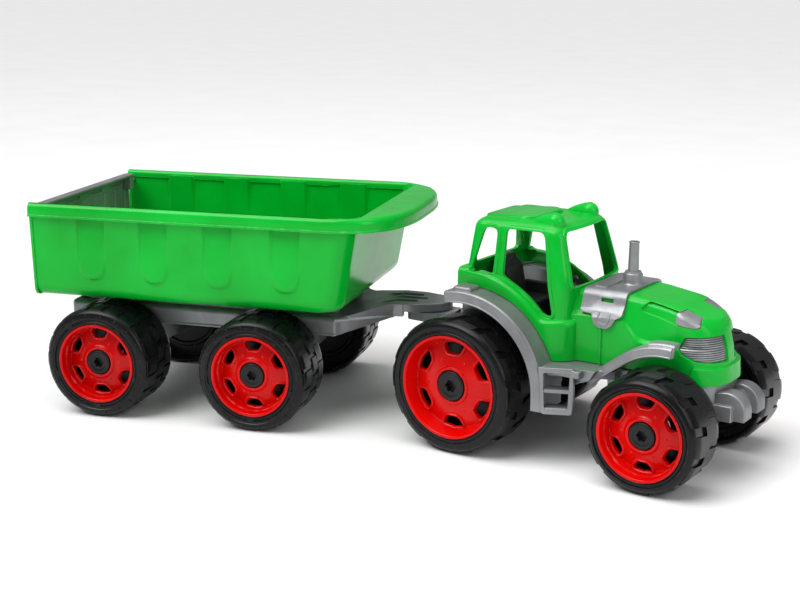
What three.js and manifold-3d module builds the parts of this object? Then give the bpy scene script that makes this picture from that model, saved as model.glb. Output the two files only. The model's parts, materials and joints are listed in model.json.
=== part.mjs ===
// Toy farm tractor with a two-axle tipping trailer, in millimetres, +Z up.
// The tractor points along +X. The trailer stands behind it, turned about the tow peg.
// The origin is the centre of the whole toy's footprint box, on the ground.
import * as THREE from 'three';
import { mergeVertices } from 'three/addons/utils/BufferGeometryUtils.js';
import Module from 'manifold-3d';

const wasm = await Module();
wasm.setup();

// ---- Driving dimensions -------------------------------------------------------------------

const WALL = 2.4; // moulded wall thickness
const GAP = 0.3; // clearance between pieces that touch
const WHEEL_SIDES = 20; // flats on a round wheel solid, with a flat on the ground
const SMALL_SIDES = 12; // flats on pins, axles and caps

const WHEELBASE = 156.3; // tractor: rear axle to front axle
const TRACTOR_REAR = { radius: 53, rim: 40.2, width: 44, face: 89.6, cap: 11.7 };
const TRACTOR_FRONT = { radius: 43.4, rim: 32.8, width: 42.8, face: 85.2, cap: 10 };
const TRAILER_WHEEL = { radius: 45.9, rim: 32.8, width: 49, face: 106, cap: 10 };
const TRAILER_BASE = 134.4; // trailer: rear axle to front axle
const BEAD_DEPTH = 16; // how far a tyre's inner bead reaches in from its face
const WEB = { near: 32, far: 34, hole: 10 }; // a tyre's inner web: its depths and its centre hole
const HUB_DEPTH = 28; // how far a rim's hub reaches in
const CAP_SEAT = 12; // depth of the pocket that the hub cap sits in
const AXLE_RADIUS = 3.2;
const BORE_RADIUS = 3.5; // running hole for an axle or hinge pin

const HITCH_X = -79; // tow peg, behind the tractor's rear axle
const HITCH_Z = 86; // underside of the drawbar eye
const DRAWBAR = 116; // tow peg to the trailer's front axle
const PEG_RADIUS = 5;
const TRAILER_YAW = THREE.MathUtils.degToRad(18.9); // how the trailer stands at rest

const FENDER_RADIUS = 71; // rear mudguard's outer arc, about the rear axle
const FENDER_FACE = 71; // mudguard's outer face, from the centre line
const ARCH_RADIUS = FENDER_RADIUS + 0.5; // cut in the body shell around the mudguard
const BELT_RADIUS = 80; // shoulder of the cab over the mudguard, about the rear axle
const EXHAUST_X = 107.5; // exhaust pipe's centre line
const EXHAUST_TOP = 163.5;
const FRAME_HALF = 40; // half the width of the tractor's frame
const BODY_FLOOR = 76; // bottom edge of the body shell
const NOSE_FLOOR = 70.5; // the same edge under the nose

const TUB = { rear: -193, front: 76, bottom: 96, top: 174, half: 91, lean: 0.8, rimOut: 3.4, rimDrop: 11 };
const TUB_PIVOT = { x: -177, z: 90 };
const GATE_PIVOT = { x: -189.5, z: 165 };
const RIB_PLACES = [-141, -86, -30.7, 26]; // middles of the ribs on the tub's sides
const DECK = { rear: -182, front: 58, half: 54, top: 85, skirt: 15 };

// ---- Solids -------------------------------------------------------------------------------

// Turns a closed three.js geometry into a solid, whichever way its faces wind.
function solid(geometry) {
  const bare = geometry.clone();
  bare.deleteAttribute('normal');
  bare.deleteAttribute('uv');
  const merged = mergeVertices(bare, 1e-4);
  const p = merged.attributes.position.array;
  const index = Array.from(merged.index.array);
  const tris = [];
  let volume = 0;
  for (let i = 0; i < index.length; i += 3) {
    const [a, b, c] = [index[i], index[i + 1], index[i + 2]];
    if (a === b || b === c || a === c) continue;
    tris.push(a, b, c);
    const [u, v, w] = [a, b, c].map((k) => new THREE.Vector3(p[3 * k], p[3 * k + 1], p[3 * k + 2]));
    volume += u.dot(v.cross(w));
  }
  if (volume < 0) tris.reverse();
  return new wasm.Manifold(
    new wasm.Mesh({ numProp: 3, vertProperties: Float32Array.from(p), triVerts: Uint32Array.from(tris) }),
  );
}

function union(...parts) {
  return parts.flat().reduce((sum, part) => sum.add(part));
}

function cut(body, ...tools) {
  return tools.flat().reduce((rest, tool) => rest.subtract(tool), body);
}

function geometryOf(manifold) {
  const mesh = manifold.getMesh();
  const geometry = new THREE.BufferGeometry();
  geometry.setAttribute('position', new THREE.BufferAttribute(mesh.vertProperties, 3));
  geometry.setIndex(Array.from(mesh.triVerts));
  geometry.computeVertexNormals();
  return geometry;
}

// Extrudes an outline along one axis. Outlines are [x, z] along Y, [y, z] along X and [x, y] along Z.
function extrude(outline, from, to) {
  const shape = new THREE.Shape(outline.map(([a, b]) => new THREE.Vector2(a, b)));
  const geometry = new THREE.ExtrudeGeometry(shape, { depth: to - from, bevelEnabled: false });
  return geometry.translate(0, 0, from);
}

function alongY(outline, from, to) {
  return solid(extrude(outline, -to, -from).rotateX(Math.PI / 2));
}

function alongX(outline, from, to) {
  return solid(extrude(outline, from, to).rotateZ(Math.PI / 2).rotateY(Math.PI / 2));
}

function alongZ(outline, from, to) {
  return solid(extrude(outline, from, to));
}

function box(x0, x1, y0, y1, z0, z1) {
  return alongZ([[x0, y0], [x1, y0], [x1, y1], [x0, y1]], z0, z1);
}

// A rectangle with its four corners cut at 45 degrees.
function chamfered(a0, a1, b0, b1, c) {
  return [
    [a0 + c, b0], [a1 - c, b0], [a1, b0 + c], [a1, b1 - c],
    [a1 - c, b1], [a0 + c, b1], [a0, b1 - c], [a0, b0 + c],
  ];
}

// Points on an arc about (cx, cz), from one angle to another in degrees.
function arc(cx, cz, radius, from, to, steps) {
  return Array.from({ length: steps + 1 }, (_, i) => {
    const angle = THREE.MathUtils.degToRad(from + ((to - from) * i) / steps);
    return [cx + radius * Math.cos(angle), cz + radius * Math.sin(angle)];
  });
}

function rodY(x, z, radius, from, to, sides = SMALL_SIDES) {
  return alongY(arc(x, z, radius, 0, 360 - 360 / sides, sides - 1), from, to);
}

// A turned solid about the Y axis, with flats whose middles lie at the stated radii.
function turned(profile, sides) {
  const grow = 1 / Math.cos(Math.PI / sides);
  const points = profile.map(([r, y]) => new THREE.Vector2(r * grow, y));
  const closed = profile[0][0] === 0 ? points : [...points, points[0]];
  return new THREE.LatheGeometry(closed, sides, Math.PI / sides);
}

// The same piece on both sides of the centre line.
function bothSides(make) {
  return [-1, 1].map(make);
}

// ---- Materials ----------------------------------------------------------------------------

function plastic(color, roughness, metalness = 0) {
  return new THREE.MeshStandardMaterial({ color, roughness, metalness });
}

const MATERIAL = {
  green: () => plastic(0x0fae2c, 0.3),
  silver: () => plastic(0x8d8f92, 0.42, 0.25),
  black: () => plastic(0x18191a, 0.45),
  red: () => plastic(0xd80d06, 0.3),
  dark: () => plastic(0x3a3c3e, 0.5),
  steel: () => plastic(0xa9abad, 0.3, 0.9),
};

function piece(parent, name, geometry, material) {
  const mesh = new THREE.Mesh(geometry, material());
  mesh.name = name;
  parent.add(mesh);
  return mesh;
}

// ---- Wheels -------------------------------------------------------------------------------

// Each is drawn with its face at y = 0 and its inside towards -y.
function tyreGeometry({ radius, rim, width }) {
  const bore = rim + GAP;
  const inside = radius - 3;
  return geometryOf(solid(turned([
    [bore, 0], [radius - 2, 0], [radius, -2], [radius, -width], [inside, -width],
    [inside, -WEB.far], [WEB.hole, -WEB.far], [WEB.hole, -WEB.near], [inside, -WEB.near],
    [inside, -3], [bore + 2.8, -3], [bore + 2.8, -BEAD_DEPTH], [bore, -BEAD_DEPTH],
  ], WHEEL_SIDES)));
}

function rimGeometry({ rim, cap }) {
  const seat = cap + GAP;
  const dish = solid(turned([
    [rim, -BEAD_DEPTH], [rim, 0.8], [rim - 2.8, 0.8], [rim * 0.8, -11], [seat, -8.5], [seat, -CAP_SEAT],
    [BORE_RADIUS, -CAP_SEAT], [BORE_RADIUS, -HUB_DEPTH],
    [BORE_RADIUS + 3.4, -HUB_DEPTH], [BORE_RADIUS + 3.4, -15],
    [rim * 0.8, -14], [rim - 2.8, -BEAD_DEPTH],
  ], WHEEL_SIDES));
  // Six D-shaped windows around the star centre.
  const windows = Array.from({ length: 6 }, (_, i) => {
    const middle = 30 + 60 * i;
    const outline = [
      ...arc(0, 0, rim * 0.85, middle - 15, middle + 15, 2),
      ...arc(0, 0, rim * 0.68, middle + 9, middle - 9, 1),
    ];
    return alongY(outline, -40, 10);
  });
  return geometryOf(cut(dish, windows));
}

function capGeometry({ cap }) {
  const back = GAP - CAP_SEAT;
  return geometryOf(solid(turned(
    [[0, back], [cap, back], [cap, -8], [cap - 2, -6.5], [4.5, -6.5], [4.5, -9.5], [0, -9.5]],
    WHEEL_SIDES,
  )));
}

// side is -1 for the right wheel and 1 for the left one, as seen by the driver.
function addWheel(parent, name, size, x, side) {
  const wheel = new THREE.Group();
  wheel.position.set(x, side * size.face, size.radius);
  wheel.rotation.z = side > 0 ? 0 : Math.PI;
  piece(wheel, `${name}_tyre`, tyreGeometry(size), MATERIAL.black);
  piece(wheel, `${name}_rim`, rimGeometry(size), MATERIAL.red);
  piece(wheel, `${name}_cap`, capGeometry(size), MATERIAL.black);
  parent.add(wheel);
}

// An axle with its two wheels. The rod ends inside the rims' hubs, behind the caps.
function addAxle(parent, name, size, x) {
  const half = size.face - CAP_SEAT - 2 * GAP;
  const rod = rodY(x, size.radius, AXLE_RADIUS, -half, half);
  piece(parent, `${name}_axle`, geometryOf(rod), MATERIAL.steel);
  addWheel(parent, `${name}_right`, size, x, -1);
  addWheel(parent, `${name}_left`, size, x, 1);
}

// ---- Tractor body shell -------------------------------------------------------------------

// The cab above the belt: its side view crossed with its front view.
function cabSolid(t) {
  const side = [
    [-13 + t, 60], [79 - t, 60], [79 - t, 131], [70 - t, 169 - t], [64 - t, 174.5 - t], [24, 176.5 - t],
    [-2 + t, 174.5 - t], [-8 + t, 169 - t], [-13 + t, 133],
  ];
  const front = [
    [45.5 - t, 60], [45.5 - t, 133], [39.5 - t, 168 - t], [34 - t, 174.5 - t], [0, 176.5 - t],
  ];
  const mirrored = front.slice(0, -1).reverse().map(([y, z]) => [-y, z]);
  return alongY(side, -80, 80).intersect(alongX([...front, ...mirrored], -60, 120));
}

// The wide lower body under the cab, which narrows to the bonnet in a round shoulder.
function lowerSolid(t) {
  const half = [
    [-15 + t, 0], [-15 + t, 52 - t], [55, 52 - t], [68 - t, 50 - t], [78 - t, 45 - t],
    [86 - t, 37 - t], [86 - t, 0],
  ];
  const plan = [...half, ...half.slice(1, -1).reverse().map(([x, y]) => [x, -y])];
  const belt = arc(0, TRACTOR_REAR.radius, BELT_RADIUS - t, 42, 88, 8);
  const side = [[-40, 60], [120, 60], [120, 107 - t], ...belt, [-40, 136 - t]];
  return alongZ(plan, 60, 150).intersect(alongY(side, -80, 80));
}

// The bonnet: its plan with a round nose, its falling top line and its round shoulders.
function bonnetSolid(t) {
  const nose = arc(160, 0, 30 - t, 78, 0, 6);
  const half = [[70, 38 - t], [125, 36 - t], [152, 33 - t], ...nose];
  const plan = [...half, ...half.slice(0, -1).reverse().map(([x, y]) => [x, -y])];
  const side = [
    [70, 60], [191 - t, 60], [190.5 - t, 76], [187 - t, 88], [181.5 - t, 105 - t], [173 - t, 112.5 - t],
    [150, 121 - t], [118, 128 - t], [70, 128.5 - t],
  ];
  const crossHalf = [[39 - t, 60], [35 - t, 98], [29 - t, 112], [27.5 - t, 124 - t], [23 - t, 129 - t]];
  const cross = [...crossHalf, ...crossHalf.slice().reverse().map(([y, z]) => [-y, z])];
  return alongZ(plan, 60, 150).intersect(alongY(side, -60, 60)).intersect(alongX(cross, 60, 200));
}

// Windows: one at the rear, a quarter window and a door opening on each side, and the windscreen.
function cabOpenings() {
  const door = [
    [20, 134], [20.5, 165], [24, 169], [48, 169.5], [52, 166], [63.5, 111], [61, 107], [57.5, 107],
    ...arc(0, TRACTOR_REAR.radius, BELT_RADIUS + 1.5, 44, 74, 5),
  ];
  const quarter = [[-6, 136], [12, 135], [13, 164], [10, 168], [4, 168], [1, 165]];
  const screen = [[-36.5, 131.5], [36.5, 131.5], [32.8, 166], [29, 169.8], [-29, 169.8], [-32.8, 166]];
  const rear = [[-32, 140], [32, 140], [29, 163], [25, 167], [-25, 167], [-29, 163]];
  return [
    alongY(door, -80, 80),
    alongY(quarter, -80, 80),
    alongX(screen, 50, 90),
    alongX(rear, -40, 8),
  ];
}

// Openings in the bonnet's nose that the silver insert shows through.
function noseOpenings() {
  const headlight = [[148, 108], [178, 100.5], [176, 107.5], [160, 116.5], [150, 118.5]];
  const grille = [[158, 90], [168, 83], [200, 82], [200, 104], [162, 104]];
  return bothSides((s) => [
    alongY(headlight, s < 0 ? -60 : 17, s < 0 ? -17 : 60),
    alongY(grille, s < 0 ? -60 : 5, s < 0 ? -5 : 60),
  ]).flat();
}

function bodyShell() {
  const outer = union(cabSolid(0), lowerSolid(0), bonnetSolid(0));
  const inner = union(cabSolid(WALL), lowerSolid(WALL), bonnetSolid(WALL));
  const arch = rodY(0, TRACTOR_REAR.radius, ARCH_RADIUS, -80, 80, 40);
  const hem = [[-80, 0], [-80, BODY_FLOOR], [125, BODY_FLOOR], [150, NOSE_FLOOR], [260, NOSE_FLOOR], [260, 0]];
  const below = alongY(hem, -80, 80);
  const bumps = bothSides((s) => (
    solid(new THREE.SphereGeometry(1, 12, 8).scale(11, 5.5, 9).translate(56, s * 27, 175))
  ));
  const panel = alongZ(chamfered(-5, 28, -22, 22, 7), 172, 178.5);
  const shell = union(cut(outer, inner, arch, below, cabOpenings(), noseOpenings()), bumps, panel);
  const roofInside = cabSolid(WALL);
  return cut(shell, roofInside.intersect(box(-40, 90, -60, 60, 150, 174)));
}

// ---- Tractor chassis ----------------------------------------------------------------------

// One mudguard with its inner wall. It runs from just behind the wheel's top, over and down to the step.
function rearFender(side) {
  const inner = FENDER_RADIUS - 3;
  const band = (radius) => arc(0, TRACTOR_REAR.radius, radius, 8, 103, 12);
  const lipRadius = FENDER_RADIUS - 9;
  const strip = [[FENDER_RADIUS, 42], ...band(FENDER_RADIUS), ...band(inner).reverse(), [inner, 42]];
  const lip = [[FENDER_RADIUS, 42], ...band(FENDER_RADIUS), ...band(lipRadius).reverse(), [lipRadius, 42]];
  const wall = [[FENDER_RADIUS, 58], ...band(FENDER_RADIUS), [-18, 58]];
  const ordered = (a, b) => (side < 0 ? [-b, -a] : [a, b]);
  return [
    alongY(strip, ...ordered(FRAME_HALF, FENDER_FACE)),
    alongY(lip, ...ordered(FENDER_FACE - WALL, FENDER_FACE)),
    alongY(wall, ...ordered(FRAME_HALF - WALL, FRAME_HALF + 3)),
    alongY([[-9, 119], [8, 120], [6, 126], [-6, 127]], ...ordered(56, 68)),
  ];
}

// The two-window step below the door, angled in towards the bonnet.
function ladder(side) {
  const length = 27;
  const frame = cut(
    box(0, length, -4, 0, 41, 77),
    box(4, length - 5.5, -10, 10, 45.5, 56.5),
    box(4, length - 5.5, -10, 10, 61.5, 72.5),
  );
  const turn = THREE.MathUtils.radToDeg(side > 0 ? -0.46 : 0.46);
  const placed = side > 0 ? frame : frame.mirror([0, 1, 0]);
  return placed.rotate([0, 0, turn]).translate([FENDER_RADIUS + 1, side * (FENDER_FACE + 2), 0]);
}

// Small mudguard over the front wheel, inboard of the tyre's middle.
function frontFender(side) {
  const band = (radius, from, to) => arc(WHEELBASE, TRACTOR_FRONT.radius, radius, from, to, 7);
  const guard = [...band(57.5, 82, 162), ...band(54.5, 162, 82)];
  const lip = [...band(57.5, 82, 162), ...band(49, 162, 82)];
  const span = side < 0 ? [-50, -37] : [37, 50];
  const face = side < 0 ? [-50, -48] : [48, 50];
  return [alongY(guard, ...span), alongY(lip, ...face)];
}

function tractorChassis() {
  const noseHalf = [[120, 32], [160, 31], ...arc(160, 0, 29.5, 72, 0, 5)];
  const nosePlan = [...noseHalf, ...noseHalf.slice(0, -1).reverse().map(([x, y]) => [x, -y])];
  const nose = alongZ(nosePlan, 42, NOSE_FLOOR - GAP);
  const frame = union(
    box(-50, 123, 2 - FRAME_HALF, FRAME_HALF - 2, 42, BODY_FLOOR - GAP * 2),
    box(56, 104, -64, 64, 70, BODY_FLOOR - GAP * 2),
    nose,
  );
  const hollow = union(
    box(-47, 120.1, 5 - FRAME_HALF, FRAME_HALF - 5, 30, BODY_FLOOR - 4),
    box(120, 182, -24, 24, 30, NOSE_FLOOR - 4),
  );
  const weight = [[184, 45], [209, 46], [209, 56], [207, 61.5], [203, 65], [197, 66.5], [184, 66.5]];
  const weights = bothSides((s) => alongY(weight, s < 0 ? -21 : 4, s < 0 ? -4 : 21));
  const rib = box(184, 203, -5, 5, 47, 62);
  const armTop = HITCH_Z - GAP * 2;
  const towArm = union(
    box(HITCH_X - 9, -49, -16, 16, armTop - 8, armTop),
    box(-56, -48, -16, 16, 44, armTop),
    alongZ(arc(HITCH_X, 0, PEG_RADIUS, 0, 330, 11), armTop - 3, HITCH_Z + 4.6),
  );
  const bores = [[0, TRACTOR_REAR], [WHEELBASE, TRACTOR_FRONT]].map(([x, wheel]) => (
    rodY(x, wheel.radius, AXLE_RADIUS + 0.15, -60, 60)
  ));
  const wheelRoom = bothSides((s) => (
    rodY(WHEELBASE, TRACTOR_FRONT.radius, TRACTOR_FRONT.radius + 2.5, s < 0 ? -90 : 41, s < 0 ? -41 : 90, 24)
  ));
  const sides = bothSides((s) => [...rearFender(s), ladder(s), ...frontFender(s)]).flat();
  const under = box(-200, 300, -200, 200, -10, 30);
  return cut(union(cut(frame, hollow), weights, rib, towArm, sides), bores, wheelRoom, under);
}

// ---- Small tractor pieces -----------------------------------------------------------------

// Silver block inside the bonnet: its face shows as the two grilles and the two headlights.
function grilleInsert() {
  const block = bonnetSolid(WALL + GAP).intersect(box(146, 200, -60, 60, 78, 130));
  return cut(block, box(140, 172, -24, 24, 70, 106));
}

// Saddle over the bonnet with a round tab on each side and a collar for the exhaust.
function engineCover() {
  const saddle = cut(bonnetSolid(-1.8), bonnetSolid(-GAP), box(60, 130, -26, 26, 90, 120));
  const sideView = [
    [82, 112], [93, 112], [96, 107], [100, 104.5], [106, 104.5], [110, 107], [113, 112], [114, 113],
    [114, 140], [82, 140],
  ];
  const upright = (radius, height, z) => {
    const cylinder = new THREE.CylinderGeometry(radius, radius, height, 16);
    return solid(cylinder.rotateX(Math.PI / 2).translate(EXHAUST_X, 0, z));
  };
  return cut(union(saddle.intersect(alongY(sideView, -60, 60)), upright(7.2, 12, 135)), upright(4.5, 10, 138));
}

function exhaust() {
  const profile = [[0, 133.3], [4.2, 133.3], [4, 150], [3.7, EXHAUST_TOP], [0, EXHAUST_TOP]];
  return geometryOf(solid(turned(profile, SMALL_SIDES).rotateX(Math.PI / 2).translate(EXHAUST_X, 0, 0)));
}

// Seat, floor and dashboard in one moulding, clipped under the cab.
function cabInterior() {
  const floor = box(-14, 80, -36, 36, 75.4, 78);
  const seatSide = [
    [0, 76], [0, 108], [-4, 112], [-6, 132], [-1, 136], [4, 132], [7, 114], [30, 110], [30, 76],
  ];
  const seat = alongY(seatSide, -17, 17);
  const dash = alongY([[52, 76], [56, 110], [62, 116], [76, 118], [76, 76]], -26, 26);
  const column = alongY([[54, 106], [49, 112], [51, 114], [60, 110]], -3, 3);
  return cut(union(floor, seat, dash, column), rodY(0, TRACTOR_REAR.radius, 24, -80, 80));
}

function steeringWheel() {
  const ring = new THREE.TorusGeometry(12, 1.8, 6, 16);
  const hub = new THREE.CylinderGeometry(11.5, 11.5, 1.6, 12).rotateX(Math.PI / 2);
  const wheel = union(solid(ring), solid(hub));
  return wheel.rotate([0, -35, 0]).translate([48, 0, 117.5]);
}

// ---- Trailer ------------------------------------------------------------------------------

// In trailer coordinates: x from the front axle, forward; y from its centre line.
function trailerChassis() {
  const half = [
    [DECK.rear, DECK.half - 3], [DECK.rear + 3, DECK.half], [DECK.front - 4, DECK.half],
    [DECK.front, DECK.half - 4], [64, 47], [95, 24],
  ];
  const plan = [...half, ...half.slice().reverse().map(([x, y]) => [x, -y])];
  const inset = half.map(([x, y], i) => [i < 2 ? x + 3 : x, y - 3]).filter(([x]) => x < 95);
  const hollow = [...inset, ...inset.slice().reverse().map(([x, y]) => [x, -y])];
  const deck = cut(alongZ(plan, DECK.top - DECK.skirt, DECK.top), alongZ(hollow, 0, DECK.top - 3));
  const tongue = [[94, -24], [DRAWBAR + 4, -21], ...arc(DRAWBAR + 6, 0, 17, -60, 60, 6), [DRAWBAR + 4, 21], [94, 24]];
  const eye = alongZ(tongue, HITCH_Z, HITCH_Z + 7);
  const neckSide = [[56, DECK.top - 3], [56, DECK.top], [95, HITCH_Z + 7], [95, DECK.top - 3]];
  const neck = alongZ(plan, 0, 200).intersect(alongY(neckSide, -60, 60));
  const axles = [0, -TRAILER_BASE];
  const boxes = axles.map((x) => box(x - 13, x + 13, -50, 50, TRAILER_WHEEL.radius - 8, DECK.top - 2));
  const bores = axles.map((x) => rodY(x, TRAILER_WHEEL.radius, AXLE_RADIUS + 0.15, -80, 80));
  const lugSide = [[-181, 80], [-181, 91], [-179, 93.5], [-175, 93.5], [-173, 91], [-170, 84]];
  const lugs = [-36, 30].map((y) => alongY(lugSide, y, y + 6));
  const rests = bothSides((s) => box(30, 50, s * 30 - 6, s * 30 + 6, DECK.top - 1, TUB.bottom - GAP));
  // A blind socket from below, so that nothing shows on top.
  const socket = alongZ(arc(DRAWBAR, 0, PEG_RADIUS + 0.5, 0, 330, 11), 60, HITCH_Z + 5);
  const pin = rodY(TUB_PIVOT.x, TUB_PIVOT.z, 2.2, -60, 60);
  return cut(union(deck, neck, eye, boxes, lugs, rests), bores, socket, pin);
}

// The body of the tub, leaning out towards its rim. t is how far in from its outer face.
function tubBlock(t) {
  const { rear, front, bottom, top, half, lean } = TUB;
  const sideHalf = [[half - lean - 8, bottom], [half - lean, bottom + 7], [half, top]];
  const inner = sideHalf.map(([y, z], i) => [y - t, i === 0 ? z + t : z]);
  const cross = [...inner, ...inner.slice().reverse().map(([y, z]) => [-y, z])];
  const side = [
    [rear - 1, bottom + t], [front - 16 - t, bottom + t], [front - 5 - t, bottom + 10], [front - t, top],
    [rear - 1, top],
  ];
  return alongX(cross, rear, front).intersect(alongY(side, -120, 120));
}

function tub() {
  const { rear, front, bottom, top, half, rimOut, rimDrop } = TUB;
  // The rim: a band around the top edge that widens to a round visor at the front.
  const rimPlan = [
    [rear - 2, half + rimOut], [60, half + rimOut], ...visorArc(0), [60, -half - rimOut],
    [rear - 2, -half - rimOut],
  ];
  const rimInner = [
    [rear - 4, half - 5], [70, half - 5], [72, half - 9], [72, 9 - half], [70, 5 - half], [rear - 4, 5 - half],
  ];
  const rim = cut(alongZ(rimPlan, top - rimDrop, top), alongZ(rimInner, 0, 300));
  const underRim = tubRimHollow();
  const ribs = RIB_PLACES.flatMap((x) => bothSides((s) => {
    const section = [[half - 7, bottom + 13], [half - 3.4, bottom + 15], [half + 0.6, top - 5], [half - 3, top - 5]];
    return alongX(section.map(([y, z]) => [s * y, z]), x - 11, x + 11);
  }));
  const lugSide = [[-182, 98], [-181, 89], [-179, 86], [-175, 86], [-173, 89], [-170, 98]];
  const lugs = [-44, 38].map((y) => alongY(lugSide, y, y + 6));
  const pin = rodY(TUB_PIVOT.x, TUB_PIVOT.z, 2.4, -60, 60);
  const gatePins = rodY(GATE_PIVOT.x, GATE_PIVOT.z, 2.4, -90, 90);
  const hollow = tubBlock(WALL).add(tubEnd());
  const body = union(cut(rim, underRim), tubBlock(0), ribs, lugs);
  const mouth = alongZ(rimInner, top - 12, 300).intersect(box(-300, 71, -86, 86, 150, 300));
  return cut(body, hollow, mouth, pin, gatePins);
}

// The visor's round front edge, seen from above. t is how far in from its outer edge.
function visorArc(t) {
  return arc(TUB.front - 60, 0, 103 - t, 50, -50, 12).map(([x, y]) => [x, y * 1.18]);
}

// Room for the tail board: the open rear end of the hollow.
function tubEnd() {
  const { rear, top, bottom, half } = TUB;
  const end = [[9 - half, bottom + 9], [half - 9, bottom + 9], [half - WALL, top + 9], [WALL - half, top + 9]];
  return alongX(end, rear - 9, rear + 20);
}

// The rolled rim is open underneath.
function tubRimHollow() {
  const { rear, top, half, rimOut, rimDrop } = TUB;
  const edge = half + rimOut - 2;
  const plan = [[rear, edge], [60, edge], ...visorArc(2), [60, -edge], [rear, -edge]];
  return alongZ(plan, top - rimDrop - 1, top - 2.2);
}

// Drop-down tail board with a top bar, which swings on two stub pins. Its lower part stands proud of the tub.
function tailgate() {
  const wide = TUB.half - 10;
  const back = TUB.rear - 4;
  const foot = TUB.bottom + 3.6;
  const panelSide = [
    [back + 5, foot], [back, foot], [back, foot + 36], [back + 3, 172], [back + 12, 172], [back + 12, 169.5],
    [back + 5.5, 169.5], [back + 5, 160],
  ];
  const armSide = [[back + 3.5, 160], [back + 3.5, 171], [back + 12, 171], [back + 12, 160]];
  const ends = (near, far, s) => (s < 0 ? [-far, -near] : [near, far]);
  const arms = bothSides((s) => alongY(armSide, ...ends(wide - 8, wide - 1, s)));
  const stubs = bothSides((s) => rodY(GATE_PIVOT.x, GATE_PIVOT.z, 2, ...ends(wide - 4, wide + 9, s)));
  // The board's lower corners are cut away, clear of the tub's chamfered bottom edges.
  const reach = wide - 1;
  const neck = wide - 7;
  const front = [
    [-reach, foot + 9], [9 - reach, foot], [reach - 9, foot], [reach, foot + 9], [reach, 154], [neck, 158],
    [neck, 180], [-neck, 180], [-neck, 158], [-reach, 154],
  ];
  const board = alongY(panelSide, -reach, reach).intersect(alongX(front, back - 5, back + 20));
  return union(board, arms, stubs);
}

// ---- Assembly -----------------------------------------------------------------------------

const toy = new THREE.Group();
const tractor = new THREE.Group();
const trailer = new THREE.Group();

piece(tractor, 'tractor_chassis', geometryOf(tractorChassis()), MATERIAL.silver);
piece(tractor, 'body_shell', geometryOf(bodyShell()), MATERIAL.green);
piece(tractor, 'grille_insert', geometryOf(grilleInsert()), MATERIAL.silver);
piece(tractor, 'engine_cover', geometryOf(engineCover()), MATERIAL.silver);
piece(tractor, 'exhaust_pipe', exhaust(), MATERIAL.silver);
piece(tractor, 'cab_interior', geometryOf(cabInterior()), MATERIAL.dark);
piece(tractor, 'steering_wheel', geometryOf(steeringWheel()), MATERIAL.dark);
addAxle(tractor, 'tractor_rear', TRACTOR_REAR, 0);
addAxle(tractor, 'tractor_front', TRACTOR_FRONT, WHEELBASE);

piece(trailer, 'trailer_chassis', geometryOf(trailerChassis()), MATERIAL.silver);
piece(trailer, 'tub', geometryOf(tub()), MATERIAL.green);
piece(trailer, 'tub_hinge_pin', geometryOf(rodY(TUB_PIVOT.x, TUB_PIVOT.z, 2.1, -46, 46)), MATERIAL.steel);
piece(trailer, 'tailgate', geometryOf(tailgate()), MATERIAL.silver);
addAxle(trailer, 'trailer_front', TRAILER_WHEEL, 0);
addAxle(trailer, 'trailer_rear', TRAILER_WHEEL, -TRAILER_BASE);

// The trailer's eye sits on the tow peg, and the trailer is turned about it.
trailer.rotation.z = TRAILER_YAW;
trailer.position.set(
  HITCH_X - DRAWBAR * Math.cos(TRAILER_YAW),
  -DRAWBAR * Math.sin(TRAILER_YAW),
  0,
);
toy.add(tractor, trailer);

// The origin is the middle of the footprint, on the ground.
toy.updateMatrixWorld(true);
const bounds = new THREE.Box3().setFromObject(toy, true);
const centre = bounds.getCenter(new THREE.Vector3());
toy.position.set(-centre.x, -centre.y, -bounds.min.z);

export default toy;
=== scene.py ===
"""Toy farm tractor with a tipping trailer: moulded-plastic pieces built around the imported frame.

Shapes are made in millimetres. A tractor piece is made in the tractor's own frame: X forward from the
rear axle, Y to the left from the centre line, Z up from the ground. A trailer piece is made in the
trailer's frame, from its front axle. Each is then placed in the row frame, in metres.
"""
import json
import math

import bmesh
import bpy
from mathutils import Matrix, Vector


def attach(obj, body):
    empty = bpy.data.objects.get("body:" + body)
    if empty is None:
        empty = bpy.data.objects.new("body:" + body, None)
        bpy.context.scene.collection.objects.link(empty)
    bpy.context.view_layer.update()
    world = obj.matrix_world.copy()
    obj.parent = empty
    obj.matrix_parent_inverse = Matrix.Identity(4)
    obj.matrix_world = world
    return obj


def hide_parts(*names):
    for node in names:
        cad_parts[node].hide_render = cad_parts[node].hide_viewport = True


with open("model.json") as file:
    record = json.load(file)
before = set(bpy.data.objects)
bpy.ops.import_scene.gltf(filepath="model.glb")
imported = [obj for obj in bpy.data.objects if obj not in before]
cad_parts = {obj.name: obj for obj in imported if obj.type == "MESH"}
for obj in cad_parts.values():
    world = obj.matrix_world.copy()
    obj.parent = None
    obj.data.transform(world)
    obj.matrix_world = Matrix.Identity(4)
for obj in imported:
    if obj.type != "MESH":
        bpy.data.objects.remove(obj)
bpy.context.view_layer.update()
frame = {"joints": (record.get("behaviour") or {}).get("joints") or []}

# ---- Driving dimensions, in millimetres ----------------------------------------------------

MM = 0.001
WALL = 2.4  # moulded wall thickness
GAP = 0.3  # clearance between pieces
BEVEL_ANGLE = 38  # degrees; sharper edges are rounded
SHARP_ANGLE = 44  # degrees; sharper edges are shaded as edges

JOINTS = {joint["name"]: joint for joint in frame["joints"]}


def joint_place(name):
    return Vector(JOINTS[name]["pos_m"]) / MM


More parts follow.
